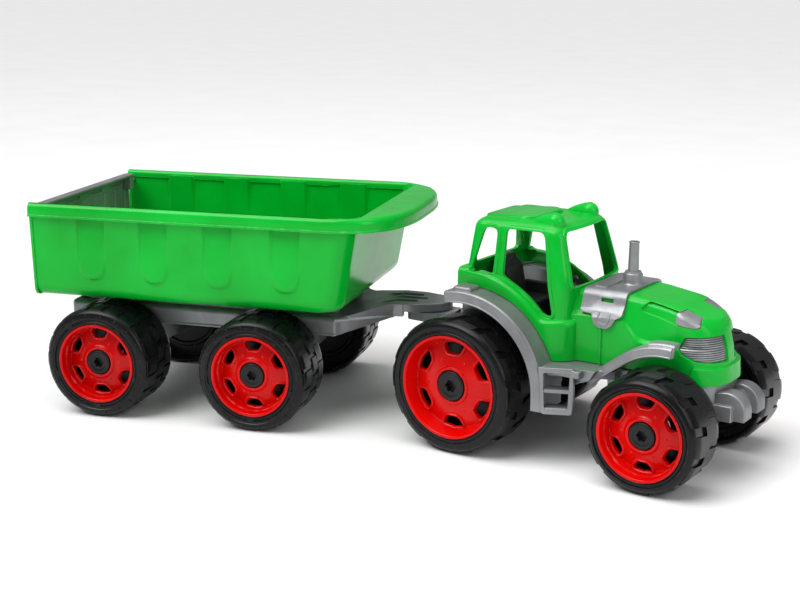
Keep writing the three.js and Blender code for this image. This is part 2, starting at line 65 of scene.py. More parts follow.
REAR_RADIUS = joint_place("tractor_rear_right_spin").z
FRONT_RADIUS = joint_place("tractor_front_right_spin").z
TRAILER_RADIUS = joint_place("trailer_front_right_spin").z
WHEELBASE = (joint_place("tractor_front_right_spin") - joint_place("tractor_rear_right_spin")).x
TRAILER_BASE = (joint_place("trailer_front_right_spin") - joint_place("trailer_rear_right_spin")).length
TRAILER_AXIS = Vector(JOINTS["trailer_front_right_spin"]["axis"])
TRAILER_YAW = math.atan2(-TRAILER_AXIS.x, TRAILER_AXIS.y)

# A tread's rows of bars are (near, far, shift, start, end, width): near and far are how deep a bar's ends are
# behind the face, the shift is in pitches, and start, end and width are in degrees.
REAR_WHEEL = {
    "radius": REAR_RADIUS, "rim": 40.2, "width": 44, "face": 89.4, "cap": 11.7, "depth": 1.5,
    "bars": 14, "rows": [(2.6, 23.76, 0, 0, 9, 19.5), (43.2, 20.24, 0.5, 0, 9, 19.5)],
}
FRONT_WHEEL = {
    "radius": FRONT_RADIUS, "rim": 32.8, "width": 42.8, "face": 85, "cap": 10, "depth": 1.8,
    "bars": 12, "rows": [(2.6, 23.968, 0, 0, 5, 22.5), (42, 18.832, 0.5, 8, 3, 22.5)],
}
TRAILER_WHEEL = {
    "radius": TRAILER_RADIUS, "rim": 32.8, "width": 48.6, "face": 105.2, "cap": 10, "depth": 1.1,
    "bars": 20,
    "rows": [(3.4, 19.44, 0, 0, 0, 15), (20.898, 33.048, 0.5, 0, 0, 14.6), (47.8, 34.506, 0, 0, 0, 15)],
}
BEAD_DEPTH = 16  # how far a tyre's bead reaches in from its face
BORE = 3.5  # radius of a rim's running hole
SHADE_WEB = {"near": 31.6, "far": 34, "hole": 10}  # a black wall across a tyre, behind its rim, closing the wheel's open back: painted shade inside the wheel
AXLE_BORE = 3.4  # radius of the axles' holes in both chassis

GUARD_RADIUS = 71  # rear mudguard, about the rear axle
GUARD_FACE = 71  # its outer face, from the centre line
GUARD_INSIDE = 40  # its inner edge
CAB_REAR, CAB_FRONT, CAB_HALF = -13, 79, 45.5  # the cab at its belt
BELT = 131  # height above which the cab narrows
ROOF = 175.5  # top of the cab, without its panel and bumps
SILL = 107  # bottom of the door opening
SHOULDER_X = 81  # where the lower body has drawn in to the bonnet
BODY_FLOOR = 76  # lower edge of the body shell
NOSE_FLOOR = 70.5  # its lower edge under the nose
FRAME_FLOOR = 42.4  # underside of the chassis
NOSE_START, NOSE_TIP = 156, 190  # where the bonnet's sides begin to turn in, and where they meet
NOSE_HALF = 32.5  # half-width of the bonnet where they begin to
EXHAUST_X = 107.5
EXHAUST_TOP = 163.5

TUB_REAR = -193
TUB_FRONT = 83  # inside the visor, at the top
TUB_BOTTOM = 96
TUB_TOP = 174
TUB_HALF = 91  # half-width at the top
RIB_PLACES = (-141, -86, -30.7, 26)
RIB_HALF = 12.2
RIB_FOOT = 124  # where a rib's straight flanks end in its round foot
DECK_TOP = 85
DECK_SKIRT = 15  # height of the deck's side walls
HITCH_U = 116  # tow peg, ahead of the trailer's front axle
HITCH_Z = 86  # underside of the tongue


def frame_at(joint, yaw=0.0):
    """The matrix from a vehicle's own millimetres to the row frame's metres."""
    place = joint_place(joint)
    move = Matrix.Translation((place.x * MM, place.y * MM, 0))
    return move @ Matrix.Rotation(yaw, 4, "Z") @ Matrix.Scale(MM, 4)


TRACTOR = frame_at("tractor_rear_right_spin")
TRAILER = frame_at("trailer_front_right_spin", TRAILER_YAW)


def local_point(joint, place):
    """A joint's (x, z) in a vehicle's own millimetres."""
    spot = place.inverted() @ Vector(JOINTS[joint]["pos_m"])
    return Vector((spot.x, spot.z))


TUB_PIVOT = local_point("tub_tip", TRAILER)
GATE_PIVOT = local_point("tailgate_swing", TRAILER)
TOW_X = local_point("hitch_turn", TRACTOR).x

# ---- Outlines ------------------------------------------------------------------------------


def arc(centre_a, centre_b, radius, start, end, steps):
    """Points on an arc, from one angle to another in degrees."""
    angles = [math.radians(start + (end - start) * i / steps) for i in range(steps + 1)]
    return [(centre_a + radius * math.cos(t), centre_b + radius * math.sin(t)) for t in angles]


def rounded(corners, steps=4):
    """An outline whose corners (a, b, radius) are rounded; a corner (a, b) stays sharp."""
    points = []
    for i, corner in enumerate(corners):
        here = Vector(corner[:2])
        if len(corner) < 3:
            points.append(tuple(here))
            continue
        before = Vector(corners[i - 1][:2]) - here
        after = Vector(corners[(i + 1) % len(corners)][:2]) - here
        turn = before.angle(after)
        reach = min(corner[2] / math.tan(turn / 2), 0.49 * before.length, 0.49 * after.length)
        start = here + before.normalized() * reach
        end = here + after.normalized() * reach
        for k in range(steps + 1):
            t = k / steps
            weight = 2 * t * (1 - t)
            point = start * (1 - t) ** 2 + here * weight + end * t ** 2
            points.append(tuple(point))
    return points


def inset(outline, distance):
    """The outline moved inwards by a distance, or outwards where it is negative."""
    count = len(outline)
    area = sum(
        outline[i - 1][0] * outline[i][1] - outline[i][0] * outline[i - 1][1] for i in range(count)
    )
    sign = 1 if area > 0 else -1
    moved = []
    for i in range(count):
        before = (Vector(outline[i]) - Vector(outline[i - 1])).normalized()
        after = (Vector(outline[(i + 1) % count]) - Vector(outline[i])).normalized()
        normals = [Vector((-edge.y, edge.x)) * sign for edge in (before, after)]
        spread = 1 + normals[0].dot(normals[1])
        step = (normals[0] + normals[1]) * (distance / max(spread, 0.4))
        moved.append(tuple(Vector(outline[i]) + step))
    return moved


def disc(a, b, radius, corners):
    """A whole circle as an outline."""
    return arc(a, b, radius, 0, 360 - 360 / corners, corners - 1)


def quarter(radius, turns):
    """Points (distance in, height) up a quarter circle, from upright (0 degrees) to level (90)."""
    return [(radius * (1 - math.cos(t)), radius * math.sin(t)) for t in map(math.radians, turns)]


def mirrored(half):
    """A closed outline from its left half, listed as (a, b) with b above zero, joined across b = 0."""
    return half + [(a, -b) for a, b in reversed(half)]


def smooth_step(value, low, high):
    t = min(max((value - low) / (high - low), 0), 1)
    return t * t * (3 - 2 * t)


def between(value, knots):
    """The height of a broken line of (place, height) knots at a place."""
    for (a, low), (b, high) in zip(knots, knots[1:]):
        if value <= b:
            return low + (high - low) * max(value - a, 0) / (b - a)
    return knots[-1][1]


# ---- Solids --------------------------------------------------------------------------------


def solid(points, faces):
    mesh = bpy.data.meshes.new("solid")
    mesh.from_pydata([tuple(p) for p in points], [], faces)
    work = bmesh.new()
    work.from_mesh(mesh)
    bmesh.ops.remove_doubles(work, verts=work.verts, dist=1e-4)
    bmesh.ops.recalc_face_normals(work, faces=work.faces)
    work.to_mesh(mesh)
    work.free()
    made = bpy.data.objects.new("solid", mesh)
    bpy.context.scene.collection.objects.link(made)
    return made


def loft(rings, ring_closed=False):
    """A skin over rings of equal length, capped at both ends or joined end to end."""
    size, count = len(rings[0]), len(rings)
    spans = count if ring_closed else count - 1
    faces = []
    for i in range(spans):
        here, there = i * size, (i + 1) % count * size
        for j in range(size):
            k = (j + 1) % size
            faces.append((here + j, here + k, there + k, there + j))
    if not ring_closed:
        faces.append(tuple(range(size)))
        faces.append(tuple(range((count - 1) * size, count * size)))
    return solid([point for ring in rings for point in ring], faces)


PLACE = {
    "x": lambda a, b, along: (along, a, b),
    "y": lambda a, b, along: (a, along, b),
    "z": lambda a, b, along: (a, b, along),
}


def prism(outline, axis, low, high, edge=0.0):
    """An extruded outline whose end edges may be rounded."""
    if edge:
        ends = [(rise, edge - high) for rise, high in quarter(edge, range(0, 91, 30))]
        levels = [(low + rise, shrink) for rise, shrink in ends]
        levels += [(high - rise, shrink) for rise, shrink in reversed(ends)]
    else:
        levels = [(low, 0), (high, 0)]
    return loft([[PLACE[axis](a, b, along) for a, b in inset(outline, by)] for along, by in levels])


def slab(x, y, z, edge=0.0, corner=0.0, axis="z"):
    """A block between pairs of limits, with rounded corners about one axis and rounded end edges."""
    a, b, along = {"x": (y, z, x), "y": (x, z, y), "z": (x, y, z)}[axis]
    corners = [(a[0], b[0]), (a[1], b[0]), (a[1], b[1]), (a[0], b[1])]
    if corner:
        corners = rounded([(*point, corner) for point in corners])
    return prism(corners, axis, *along, edge)


def lathe(profile, steps=72):
    """A profile of (radius, y) turned about the Y axis."""
    angles = [2 * math.pi * i / steps for i in range(steps)]
    rings = [[(r * math.cos(t), y, r * math.sin(t)) for r, y in profile] for t in angles]
    return loft(rings, ring_closed=True)


def placed(made, *matrices):
    for matrix in matrices:
        made.data.transform(matrix)
    return made


def moved(made, x=0, y=0, z=0):
    return placed(made, Matrix.Translation((x, y, z)))


def turned(made, degrees, axis):
    return placed(made, Matrix.Rotation(math.radians(degrees), 4, axis))


def flat_list(things):
    found = []
    for thing in things:
        found.extend(flat_list(thing) if isinstance(thing, (list, tuple)) else [thing])
    return found


def upright(profile, steps, x):
    """A profile of (radius, z) turned about a vertical line on the centre plane."""
    return moved(turned(lathe(profile, steps), 90, "X"), x=x)


def rod(half, radius, chamfer, steps):
    """A bar along Y with chamfered ends."""
    end = [(radius, half - chamfer), (radius - chamfer, half), (0, half)]
    return lathe([(r, -y) for r, y in reversed(end)] + end, steps)


def boolean(body, tools, operation):
    """Joins, cuts or crosses a solid with others, which are used up."""
    tools = flat_list(tools)
    for tool in tools:
        step = body.modifiers.new("step", "BOOLEAN")
        step.operation = operation
        step.solver = "MANIFOLD"
        step.object = tool
    apply_modifiers(body)
    for tool in tools:
        old = tool.data
        bpy.data.objects.remove(tool)
        bpy.data.meshes.remove(old)
    if not body.data.polygons:
        raise RuntimeError(f"nothing is left of a solid after {operation}")
    return body


def apply_modifiers(body):
    graph = bpy.context.evaluated_depsgraph_get()
    old = body.data
    body.data = bpy.data.meshes.new_from_object(body.evaluated_get(graph))
    body.modifiers.clear()
    bpy.data.meshes.remove(old)


def union(body, *tools):
    return boolean(body, tools, "UNION")


def cut(body, *tools):
    return boolean(body, tools, "DIFFERENCE")


def overlap(body, *tools):
    return boolean(body, tools, "INTERSECT")


def span(side, near, far):
    """The limits from near to far off the centre line, on one side."""
    return (near, far) if side > 0 else (-far, -near)


def slab_pair(x, y, z, **rounding):
    """A block on each side, its y limits being distances off the centre line."""
    return [slab(x, span(side, *y), z, **rounding) for side in (-1, 1)]


def prism_pair(outline, near, far, edge=0.0):
    """A side view extruded on each side, from near to far off the centre line."""
    return [prism(outline, "y", *span(side, near, far), edge) for side in (-1, 1)]


# ---- Materials -----------------------------------------------------------------------------


class Nodes:
    """A material's node tree, with short ways to add and join nodes."""

    def __init__(self, name):
        self.material = bpy.data.materials.new(name)
        self.material.use_nodes = True
        self.tree = self.material.node_tree
        self.shader = self.tree.nodes["Principled BSDF"]
        self.place = self.add("ShaderNodeTexCoord").outputs["Object"]

    def put(self, node, values):
        """Gives a node's inputs numbers, colours or other nodes' outputs."""
        for key, value in values.items():
            if isinstance(value, bpy.types.NodeSocket):
                self.tree.links.new(value, node.inputs[key])
            else:
                node.inputs[key].default_value = value

    def add(self, kind, values=None, **settings):
        node = self.tree.nodes.new(kind)
        for key, value in settings.items():
            setattr(node, key, value)
        self.put(node, values or {})
        return node

    def noise(self, scale, detail=3.0, roughness=0.5, distortion=0.0):
        values = {"Scale": scale, "Detail": detail, "Roughness": roughness, "Distortion": distortion}
        return self.add("ShaderNodeTexNoise", {"Vector": self.place, **values}).outputs["Fac"]

    def ramp(self, source, stops):
        """A colour ramp from (position, colour) stops."""
        node = self.add("ShaderNodeValToRGB", {"Fac": source})
        elements = node.color_ramp.elements
        while len(elements) < len(stops):
            elements.new(0.5)
        for element, (position, colour) in zip(elements, stops):
            element.position = position
            element.color = (*colour, 1)
        return node.outputs["Color"]

    def map(self, source, low, high, to_low, to_high):
        values = {"Value": source, "From Min": low, "From Max": high, "To Min": to_low, "To Max": to_high}
        return self.add("ShaderNodeMapRange", values).outputs["Result"]

    def mix(self, factor, first, second):
        return self.add("ShaderNodeMix", {0: factor, 6: first, 7: second}, data_type="RGBA").outputs[2]

    def worn_edges(self, strength):
        """0 on faces and up to the strength along edges, broken up by noise."""
        soft = self.add("ShaderNodeBevel", {"Radius": 0.0007}, samples=4).outputs["Normal"]
        true = self.add("ShaderNodeNewGeometry").outputs["Normal"]
        alike = self.add("ShaderNodeVectorMath", {0: soft, 1: true}, operation="DOT_PRODUCT")
        edge = self.map(alike.outputs["Value"], 0.985, 0.86, 0, strength)
        patches = self.map(self.noise(190, 4), 0.45, 0.65, 0.1, 1)
        return self.add("ShaderNodeMath", {0: edge, 1: patches}, operation="MULTIPLY").outputs[0]

    def bump(self, source, strength, distance):
        """Adds a bump on top of those the shader has."""
        node = self.add("ShaderNodeBump", {"Strength": strength, "Distance": distance, "Height": source})
        normal = self.shader.inputs["Normal"]
        if normal.is_linked:
            self.put(node, {"Normal": normal.links[0].from_socket})
        self.put(self.shader, {"Normal": node.outputs["Normal"]})


def moulded(name, dark, base, light, rough, wear, orange_peel=0.08, shine=0.25):
    """Moulded plastic: slow colour drift, flow haze, fine orange peel, scuffed edges."""
    nodes = Nodes(name)
    drift = nodes.noise(14, 3, 0.55, 0.4)
    colour = nodes.ramp(drift, [(0.32, dark), (0.52, base), (0.74, light)])
    scuffs = nodes.worn_edges(wear)
    pale = tuple(min(1, 0.45 + 0.75 * c) for c in light)
    haze = nodes.noise(55, 5, 0.6)
    nodes.put(nodes.shader, {
        "Base Color": nodes.mix(scuffs, colour, (*pale, 1)),
        "Roughness": nodes.map(haze, 0.3, 0.7, rough * 0.82, rough * 1.22),
        "Specular IOR Level": shine,
        "IOR": 1.5,
    })
    nodes.bump(nodes.noise(420, 2), orange_peel, 0.0002)
    nodes.bump(nodes.noise(38, 2), orange_peel, 0.0008)
    return nodes


def green_plastic():
    return moulded(
        "green_plastic", (0.0, 0.36, 0.02), (0.0002, 0.43, 0.028), (0.001, 0.49, 0.038),
        rough=0.20, wear=0.3, orange_peel=0.05, shine=0.24,
    ).material


def red_plastic():
    return moulded(
        "red_plastic", (0.48, 0.0003, 0.0001), (0.58, 0.0006, 0.0003), (0.68, 0.002, 0.001),
        rough=0.2, wear=0.2, orange_peel=0.05, shine=0.2,
    ).material


def silver_plastic():
    """Grey plastic with fine metal flake and darker flow lines."""
    nodes = moulded(
        "silver_plastic", (0.20, 0.204, 0.213), (0.28, 0.284, 0.296), (0.36, 0.365, 0.378),
        rough=0.38, wear=0.3, orange_peel=0.07,
    )
    flake = nodes.add("ShaderNodeTexVoronoi", {"Vector": nodes.place, "Scale": 2600}, feature="F1")
    distance = flake.outputs["Distance"]
    colour = nodes.shader.inputs["Base Color"].links[0].from_socket
    bright = nodes.mix(nodes.map(distance, 0.0, 0.5, 0.45, 0.0), colour, (0.46, 0.47, 0.49, 1))
    flow = nodes.map(nodes.noise(26, 6, 0.62, 2.4), 0.38, 0.50, 0.15, 0.0)
    nodes.put(nodes.shader, {"Base Color": nodes.mix(flow, bright, (0.12, 0.123, 0.13, 1)), "Metallic": 0.55})
    nodes.bump(distance, 0.04, 0.0001)
    return nodes.material


def dark_plastic():
    return moulded(
        "dark_plastic", (0.016, 0.017, 0.018), (0.025, 0.026, 0.027), (0.037, 0.039, 0.041),
        rough=0.32, wear=0.2,
    ).material


def black_plastic():
    return moulded(
        "black_plastic", (0.006, 0.006, 0.007), (0.009, 0.009, 0.010), (0.015, 0.015, 0.016),
        rough=0.34, wear=0.12,
    ).material


def tyre_plastic():
    """Hard black tyre plastic with a fine grain."""
    nodes = moulded(
        "tyre_plastic", (0.003, 0.003, 0.0035), (0.005, 0.005, 0.0055), (0.009, 0.009, 0.010),
        rough=0.24, wear=0.08, orange_peel=0.06, shine=0.22,
    )
    nodes.bump(nodes.noise(900, 2, 0.7), 0.05, 0.0001)
    return nodes.material


def steel():
    nodes = moulded("steel", (0.42, 0.42, 0.43), (0.52, 0.52, 0.53), (0.62, 0.62, 0.63), rough=0.3, wear=0.2)
    nodes.put(nodes.shader, {"Metallic": 1.0})
    return nodes.material


MAKERS = (green_plastic, red_plastic, silver_plastic, dark_plastic, black_plastic, tyre_plastic, steel)
MATERIALS = {make.__name__: make() for make in MAKERS}

# ---- Finished pieces -----------------------------------------------------------------------


def clean_up(mesh):
    """Splits faces of many corners and merges the slivers that cutting leaves, before a rounding."""
    work = bmesh.new()
    work.from_mesh(mesh)
    bmesh.ops.triangulate(work, faces=[face for face in work.faces if len(face.verts) > 4])
    bmesh.ops.remove_doubles(work, verts=work.verts, dist=1e-5)
    work.to_mesh(mesh)
    work.free()


def finish_piece(made, node, body, slot, place, edge=0.0):
    """Names, places, rounds and shades a solid, and lets it stand for its CAD node."""
    made.name = f"moulded_{node}"
    made.data.name = made.name
    made.data.transform(place)
    if edge:
        clean_up(made.data)
        bevel = made.modifiers.new("rounding", "BEVEL")
        bevel.width = edge * MM
        bevel.segments = 2
        bevel.limit_method = "ANGLE"
        bevel.angle_limit = math.radians(BEVEL_ANGLE)
        bevel.use_clamp_overlap = False
        bevel.miter_outer = "MITER_ARC"
        apply_modifiers(made)
        made.data.name = made.name
    made.data.shade_smooth()
    made.data.set_sharp_from_angle(angle=math.radians(SHARP_ANGLE))
    normals = made.modifiers.new("even_shading", "WEIGHTED_NORMAL")
    normals.keep_sharp = True
    normals.weight = 60
    made.data.materials.clear()
    made.data.materials.append(MATERIALS[slot])
    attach(made, body)
    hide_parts(node)


# ---- Wheels --------------------------------------------------------------------------------
# A wheel is made with its face at y = 0, its inside towards -y and its axle along Y.


def lug(size, near, far, start, end, width):
    """A raised tread bar from y = near to y = far, whose middle goes from one angle to another."""
    radius, depth = size["radius"], size["depth"]
    rings = []
    for i in range(7):
        t = i / 6
        y = near + (far - near) * t
        middle = start + (end - start) * t
        top = radius - 0.9 * depth * (1 - smooth_step(t, 0, 0.16))
        foot_half, top_half = width / 2, width / 2 - 0.8
        outline = arc(0, 0, radius - depth - 1.2, middle - foot_half, middle + foot_half, 6)
        outline += arc(0, 0, top, middle + top_half, middle - top_half, 6)
        rings.append([(x, y, z) for x, z in outline])
    return loft(rings)


def tyre_carcass(size):
    """A hollow shell: bead, sidewall, shoulder, smooth tread drum, inner rim and a black web across it, which
    closes the wheel's open back as painted shade.
    """
    bore, width, shoulder = size["rim"] + GAP, size["width"], 5.0
    tread = size["radius"] - size["depth"]
    corner = arc(tread - shoulder, -shoulder, shoulder, 90, 0, 6)
    near, far, hole = SHADE_WEB["near"], SHADE_WEB["far"], SHADE_WEB["hole"]
    middle = (hole + tread) / 2
    return lathe(
        [
            (bore, -BEAD_DEPTH), (bore, -0.8), (bore + 0.6, -0.2), (bore + 1.6, 0.0), (bore + 2.3, -0.3),
            (bore + 2.7, -1.1), (bore + 3.2, -1.1), (bore + 3.8, -0.2), *corner,
            (tread, -width + 1.2), (tread - 0.8, -width), (tread - 2.4, -width), (tread - 2.8, -far - 1.0),
            (tread - 3.8, -far), (middle + 6, -far), (middle + 4.6, -far - 1.8), (middle + 2.4, -far - 1.8),
            (middle + 1.0, -far), (hole + 5, -far), (hole + 4, -far - 2), (hole + 0.6, -far - 2),
            (hole, -far - 1.4), (hole, -near), (tread - 3.8, -near), (tread - 3.4, -near + 1),
            (tread - 3.0, -7.2), (tread - 5.4, -4.4), (bore + 3.2, -3.4), (bore + 2.6, -5),
            (bore + 2.6, -BEAD_DEPTH),
        ],
        144,
    )


def tread(size):
    """The raised bars all round, each turn of the pattern being one bar of every row."""
    pitch = 360 / size["bars"]
    bars = []
    for i in range(size["bars"]):
        for near, far, shift, start, end, width in size["rows"]:
            angle = (i + shift) * pitch
            bars.append(lug(size, -near, -far, angle + start, angle + end, width))
    return bars


def trailer_sidewall(size):
    """The shoulder ring's ticks and the small raised tablets on the sidewall."""
    radius, rim = size["radius"], size["rim"]
    foot = radius - 7.4
    marks = [lathe([(foot, -3), (foot, 0.1), (foot + 0.5, 0.55), (foot + 1.2, 0.3), (foot + 1.8, -3)], 96)]
    for i in range(20):
        tick = slab((foot, radius - 3.4), (-3.4, 0.3), (-0.55, 0.55), axis="x", edge=0.2)
        marks.append(turned(tick, 18 * i + 9, "Y"))
    for i in range(5):
        tablet = slab((rim + 2.2, rim + 4.0), (-2, 0.35), (-2.6, 2.6), axis="y", edge=0.3)
        marks.append(turned(tablet, 72 * i + 18, "Y"))
    return marks


def tyre(size, marks):
    made = union(tyre_carcass(size), tread(size))
    return union(made, marks(size)) if marks else made


def window_outline(rim, middle):
    """A D-shaped window between two spokes, with its flat side to the rim."""
    corners = [(0.825, -15.5, 1.2), (0.835, 0, 0), (0.825, 15.5, 1.2), (0.63, 12.5, 4.2), (0.63, -12.5, 4.2)]
    points = []
    for share, angle, corner in corners:
        turn = math.radians(middle + angle)
        spot = (share * rim * math.cos(turn), share * rim * math.sin(turn))
        points.append((*spot, corner) if corner else spot)
    return rounded(points, 6)


def rim_face(rim, cap):
    """The dish's front, as (radius, y), from the foot of the cone wall to the hub."""
    return [
        (0.845 * rim, -11.4), (0.74 * rim, -10.3), (0.60 * rim, -8.9), (0.46 * rim, -7.6), (cap + 3.6, -6.8),
    ]


def lip(rim, cap, outline):
    """A raised round lip about a window, following the dish's face."""
    face = rim_face(rim, cap)[::-1]
    path, section = inset(outline, -1.1), disc(0, 0, 1, 8)
    rings = []
    for i, (a, b) in enumerate(path):
        before, after = Vector(path[i - 1]), Vector(path[(i + 1) % len(path)])
        out = Vector(((after - before).y, -(after - before).x)).normalized()
        y = between(math.hypot(a, b), face) + 0.2
        rings.append([(a + out.x * 1.15 * p, y + 1.5 * q, b + out.y * 1.15 * p) for p, q in section])
    return loft(rings, ring_closed=True)


def rim_piece(size):
    """A deep dish with six windows, a hub ring and a dot on each spoke."""
    rim, cap = size["rim"], size["cap"]
    dish = lathe(
        [
            (rim, -BEAD_DEPTH), (rim, 0), (rim - 0.4, 0.25), (rim - 1.1, 0.35), (rim - 1.8, 0.2),
            (rim - 2.4, -0.5), (0.868 * rim, -10.2), *rim_face(rim, cap), (cap + 3, -5.8), (cap + 2.4, -5.3),
            (cap + 1.3, -5.3), (cap + 0.7, -5.8), (cap + 0.4, -11.9), (BORE, -11.9), (BORE, -28),
            (BORE + 3.4, -28), (BORE + 3.4, -14.5), (0.6 * rim, -11.6), (0.8 * rim, -13.6),
            (0.872 * rim, -12.8), (rim - 3.2, -4.5), (rim - 2.2, -5.5), (rim - 2, -BEAD_DEPTH),
        ],
        96,
    )
    windows, lips, dots = [], [], []
    for i in range(6):
        outline = window_outline(rim, 30 + 60 * i)
        lips.append(lip(rim, cap, outline))
        windows.append(prism(outline, "y", -30, 10))
        dot = lathe([(0, -10), (1.1, -10), (1.1, -7.9), (0.7, -7.5), (0, -7.4)], 16)
        dots.append(turned(moved(dot, x=0.52 * rim), 60 * i, "Y"))
    return cut(union(dish, lips, dots), windows)


def cap_piece(size):
    """A hub cap with a lobed socket."""
    cap = size["cap"]
    made = lathe(
        [
            (0, -11.7), (cap, -11.7), (cap, -5.6), (cap - 0.5, -4.9), (cap - 1.5, -4.6), (0.72 * cap, -4.7),
            (0.66 * cap, -5.2), (0.55 * cap, -5.3), (0, -5.3),
        ],
        64,
    )
    angles = [math.radians(5 * i) for i in range(72)]
    lobes = [((0.39 + 0.04 * math.cos(6 * t)) * cap, t) for t in angles]
    socket = prism([(r * math.cos(t), r * math.sin(t)) for r, t in lobes], "y", -10, 0)
    return cut(made, socket)


def copy_of(made):
    """The same solid once more, for another wheel."""
    twin = made.copy()
    twin.data = made.data.copy()
    bpy.context.scene.collection.objects.link(twin)
    return twin


def put_wheels(axles, size, frame_matrix, marks=None):
    """The wheels of one size, two on each axle: a tyre, a rim and a cap each."""
    makes = {
        "tyre": (tyre(size, marks), "tyre_plastic", 0.0),
        "rim": (rim_piece(size), "red_plastic", 0.0),
        "cap": (cap_piece(size), "black_plastic", 0.25),
    }
    for axle, x in axles:
        for side, name in ((-1, "right"), (1, "left")):
            turn = Matrix.Rotation(0 if side > 0 else math.pi, 4, "Z")
            place = frame_matrix @ Matrix.Translation((x, side * size["face"], size["radius"])) @ turn
            for part, (shape, slot, edge) in makes.items():
                node = f"{axle}_{name}_{part}"
                finish_piece(copy_of(shape), node, f"{axle}_{name}_wheel", slot, place, edge)
    for shape, _, _ in makes.values():
        bpy.data.objects.remove(shape)


def all_wheels():
    put_wheels([("tractor_rear", 0)], REAR_WHEEL, TRACTOR)
    put_wheels([("tractor_front", WHEELBASE)], FRONT_WHEEL, TRACTOR)
    trailer_axles = [("trailer_front", 0), ("trailer_rear", -TRAILER_BASE)]
    put_wheels(trailer_axles, TRAILER_WHEEL, TRAILER, trailer_sidewall)


def axle_rod(axle, size, x, body, place):
    made = moved(rod(size["face"] - 12.7, 3.2, 0.6, 32), x=x, z=size["radius"])
    finish_piece(made, f"{axle}_axle", body, "steel", place)


def all_axles():
    """Steel rods, one for each pair of wheels."""
    axle_rod("tractor_rear", REAR_WHEEL, 0, "tractor", TRACTOR)
    axle_rod("tractor_front", FRONT_WHEEL, WHEELBASE, "tractor", TRACTOR)
    axle_rod("trailer_front", TRAILER_WHEEL, 0, "trailer", TRAILER)
    axle_rod("trailer_rear", TRAILER_WHEEL, -TRAILER_BASE, "trailer", TRAILER)


# ---- Tractor body shell --------------------------------------------------------------------


def cab_block(t):
    """The cab, narrowing upwards, with round posts and a round roof edge. t is how far in from its face."""
    roof_edge = 7 - t
    roof_foot = ROOF - t - roof_edge
    bow = 3.5
    levels = [(z, 0) for z in (60, 100, BELT, 145, 158, 167)]
    levels += [(roof_foot + high, by) for by, high in quarter(roof_edge, range(0, 91, 18))]
    rings = []
    for z, by in levels:
        rise = max(z - BELT, 0) / 38
        rear = CAB_REAR + 3.5 * rise + t + by
        front = CAB_FRONT - 10 * rise - t - by
        half = CAB_HALF - 6.5 * rise - t - by
        lanes = [half * k / 4 for k in (-2, -1, 0, 1, 2)]
        corners = [(rear, -half, 6 - t), (front - bow, -half, 9 - t)]
        corners += [(front - bow * (lane / half) ** 2, lane) for lane in lanes]
        corners += [(front - bow, half, 9 - t), (rear, half, 6 - t)]
        rings.append([(x, y, z) for x, y in rounded(corners, 6)])
    return loft(rings)


def both_halves(half):
    """A ring of (y, z) from the half of it on the left."""
    return half + [(-y, z) for y, z in reversed(half)]


def lower_half_width(x):
    """The lower body is wide under the doors and draws in to the bonnet in a round shoulder."""
    wide, narrow, start = 52, 36, 58
    share = max(x - start, 0) / (SHOULDER_X - start)
    return narrow + (wide - narrow) * math.sqrt(max(1 - share ** 2, 0))


def belt_point(angle, out=0.0):
    """A point of the belt over the rear wheel, which rises towards the rear, and a little beyond it."""
    radius = 78.5 + 7.8 * (max(angle - 45, 0) / 55) ** 1.3 + out
    turn = math.radians(angle)
    return radius * math.cos(turn), REAR_RADIUS + radius * math.sin(turn)


def lower_block(t):
    """The lower body, with a round shoulder along the belt."""
    stations = [belt_point(100 - 2 * i) for i in range(29)]
    stations[0] = (stations[0][0] + t, stations[0][1])
    stations += [(59 + 2 * i, SILL) for i in range(10)]
    stations += [(SHOULDER_X - 1.2, SILL), (SHOULDER_X - t - 0.2, SILL)]
    rings = []
    for x, belt in stations:
        width, top, edge = lower_half_width(x) - t, max(belt, SILL) - t, 5 - 0.6 * t
        shoulder = arc(width - edge, top - edge, edge, 0, 90, 5)
        half = [(width, 60), (width, 90)] + shoulder
        rings.append([(x, y, z) for y, z in both_halves(half)])
    return loft(rings)


def bonnet_half_width(x):
    """Nearly straight flanks, then a full round nose in plan."""
    if x <= NOSE_START:
        return between(x, [(70, 38), (125, 36), (NOSE_START, NOSE_HALF)])
    share, fullness = (x - NOSE_START) / (NOSE_TIP - NOSE_START), 2.5
    return NOSE_HALF * max(1 - share ** fullness, 0) ** (1 / fullness)


# The bonnet's side view, as (x, z): its top line, and the crease above its full flanks.
BONNET_TOP = [
    (70, 129), (116, 129.2), (128, 128.2), (140, 126.8), (152, 125), (164, 122.8), (176, 120), (192, 115),
]
CREASE = [
    (70, 111.5), (112, 112.4), (118, 110.4), (122, 106), (126, 101), (130, 98.2), (136, 96.8), (192, 96.4),
]
# The nose's front, as (z, x).
NOSE_FRONT = [
    (60, 191.4), (78, 191.2), (88, 189.6), (96, 188), (104, 186), (110, 184), (115, 181), (119, 177),
    (123, 171),
]


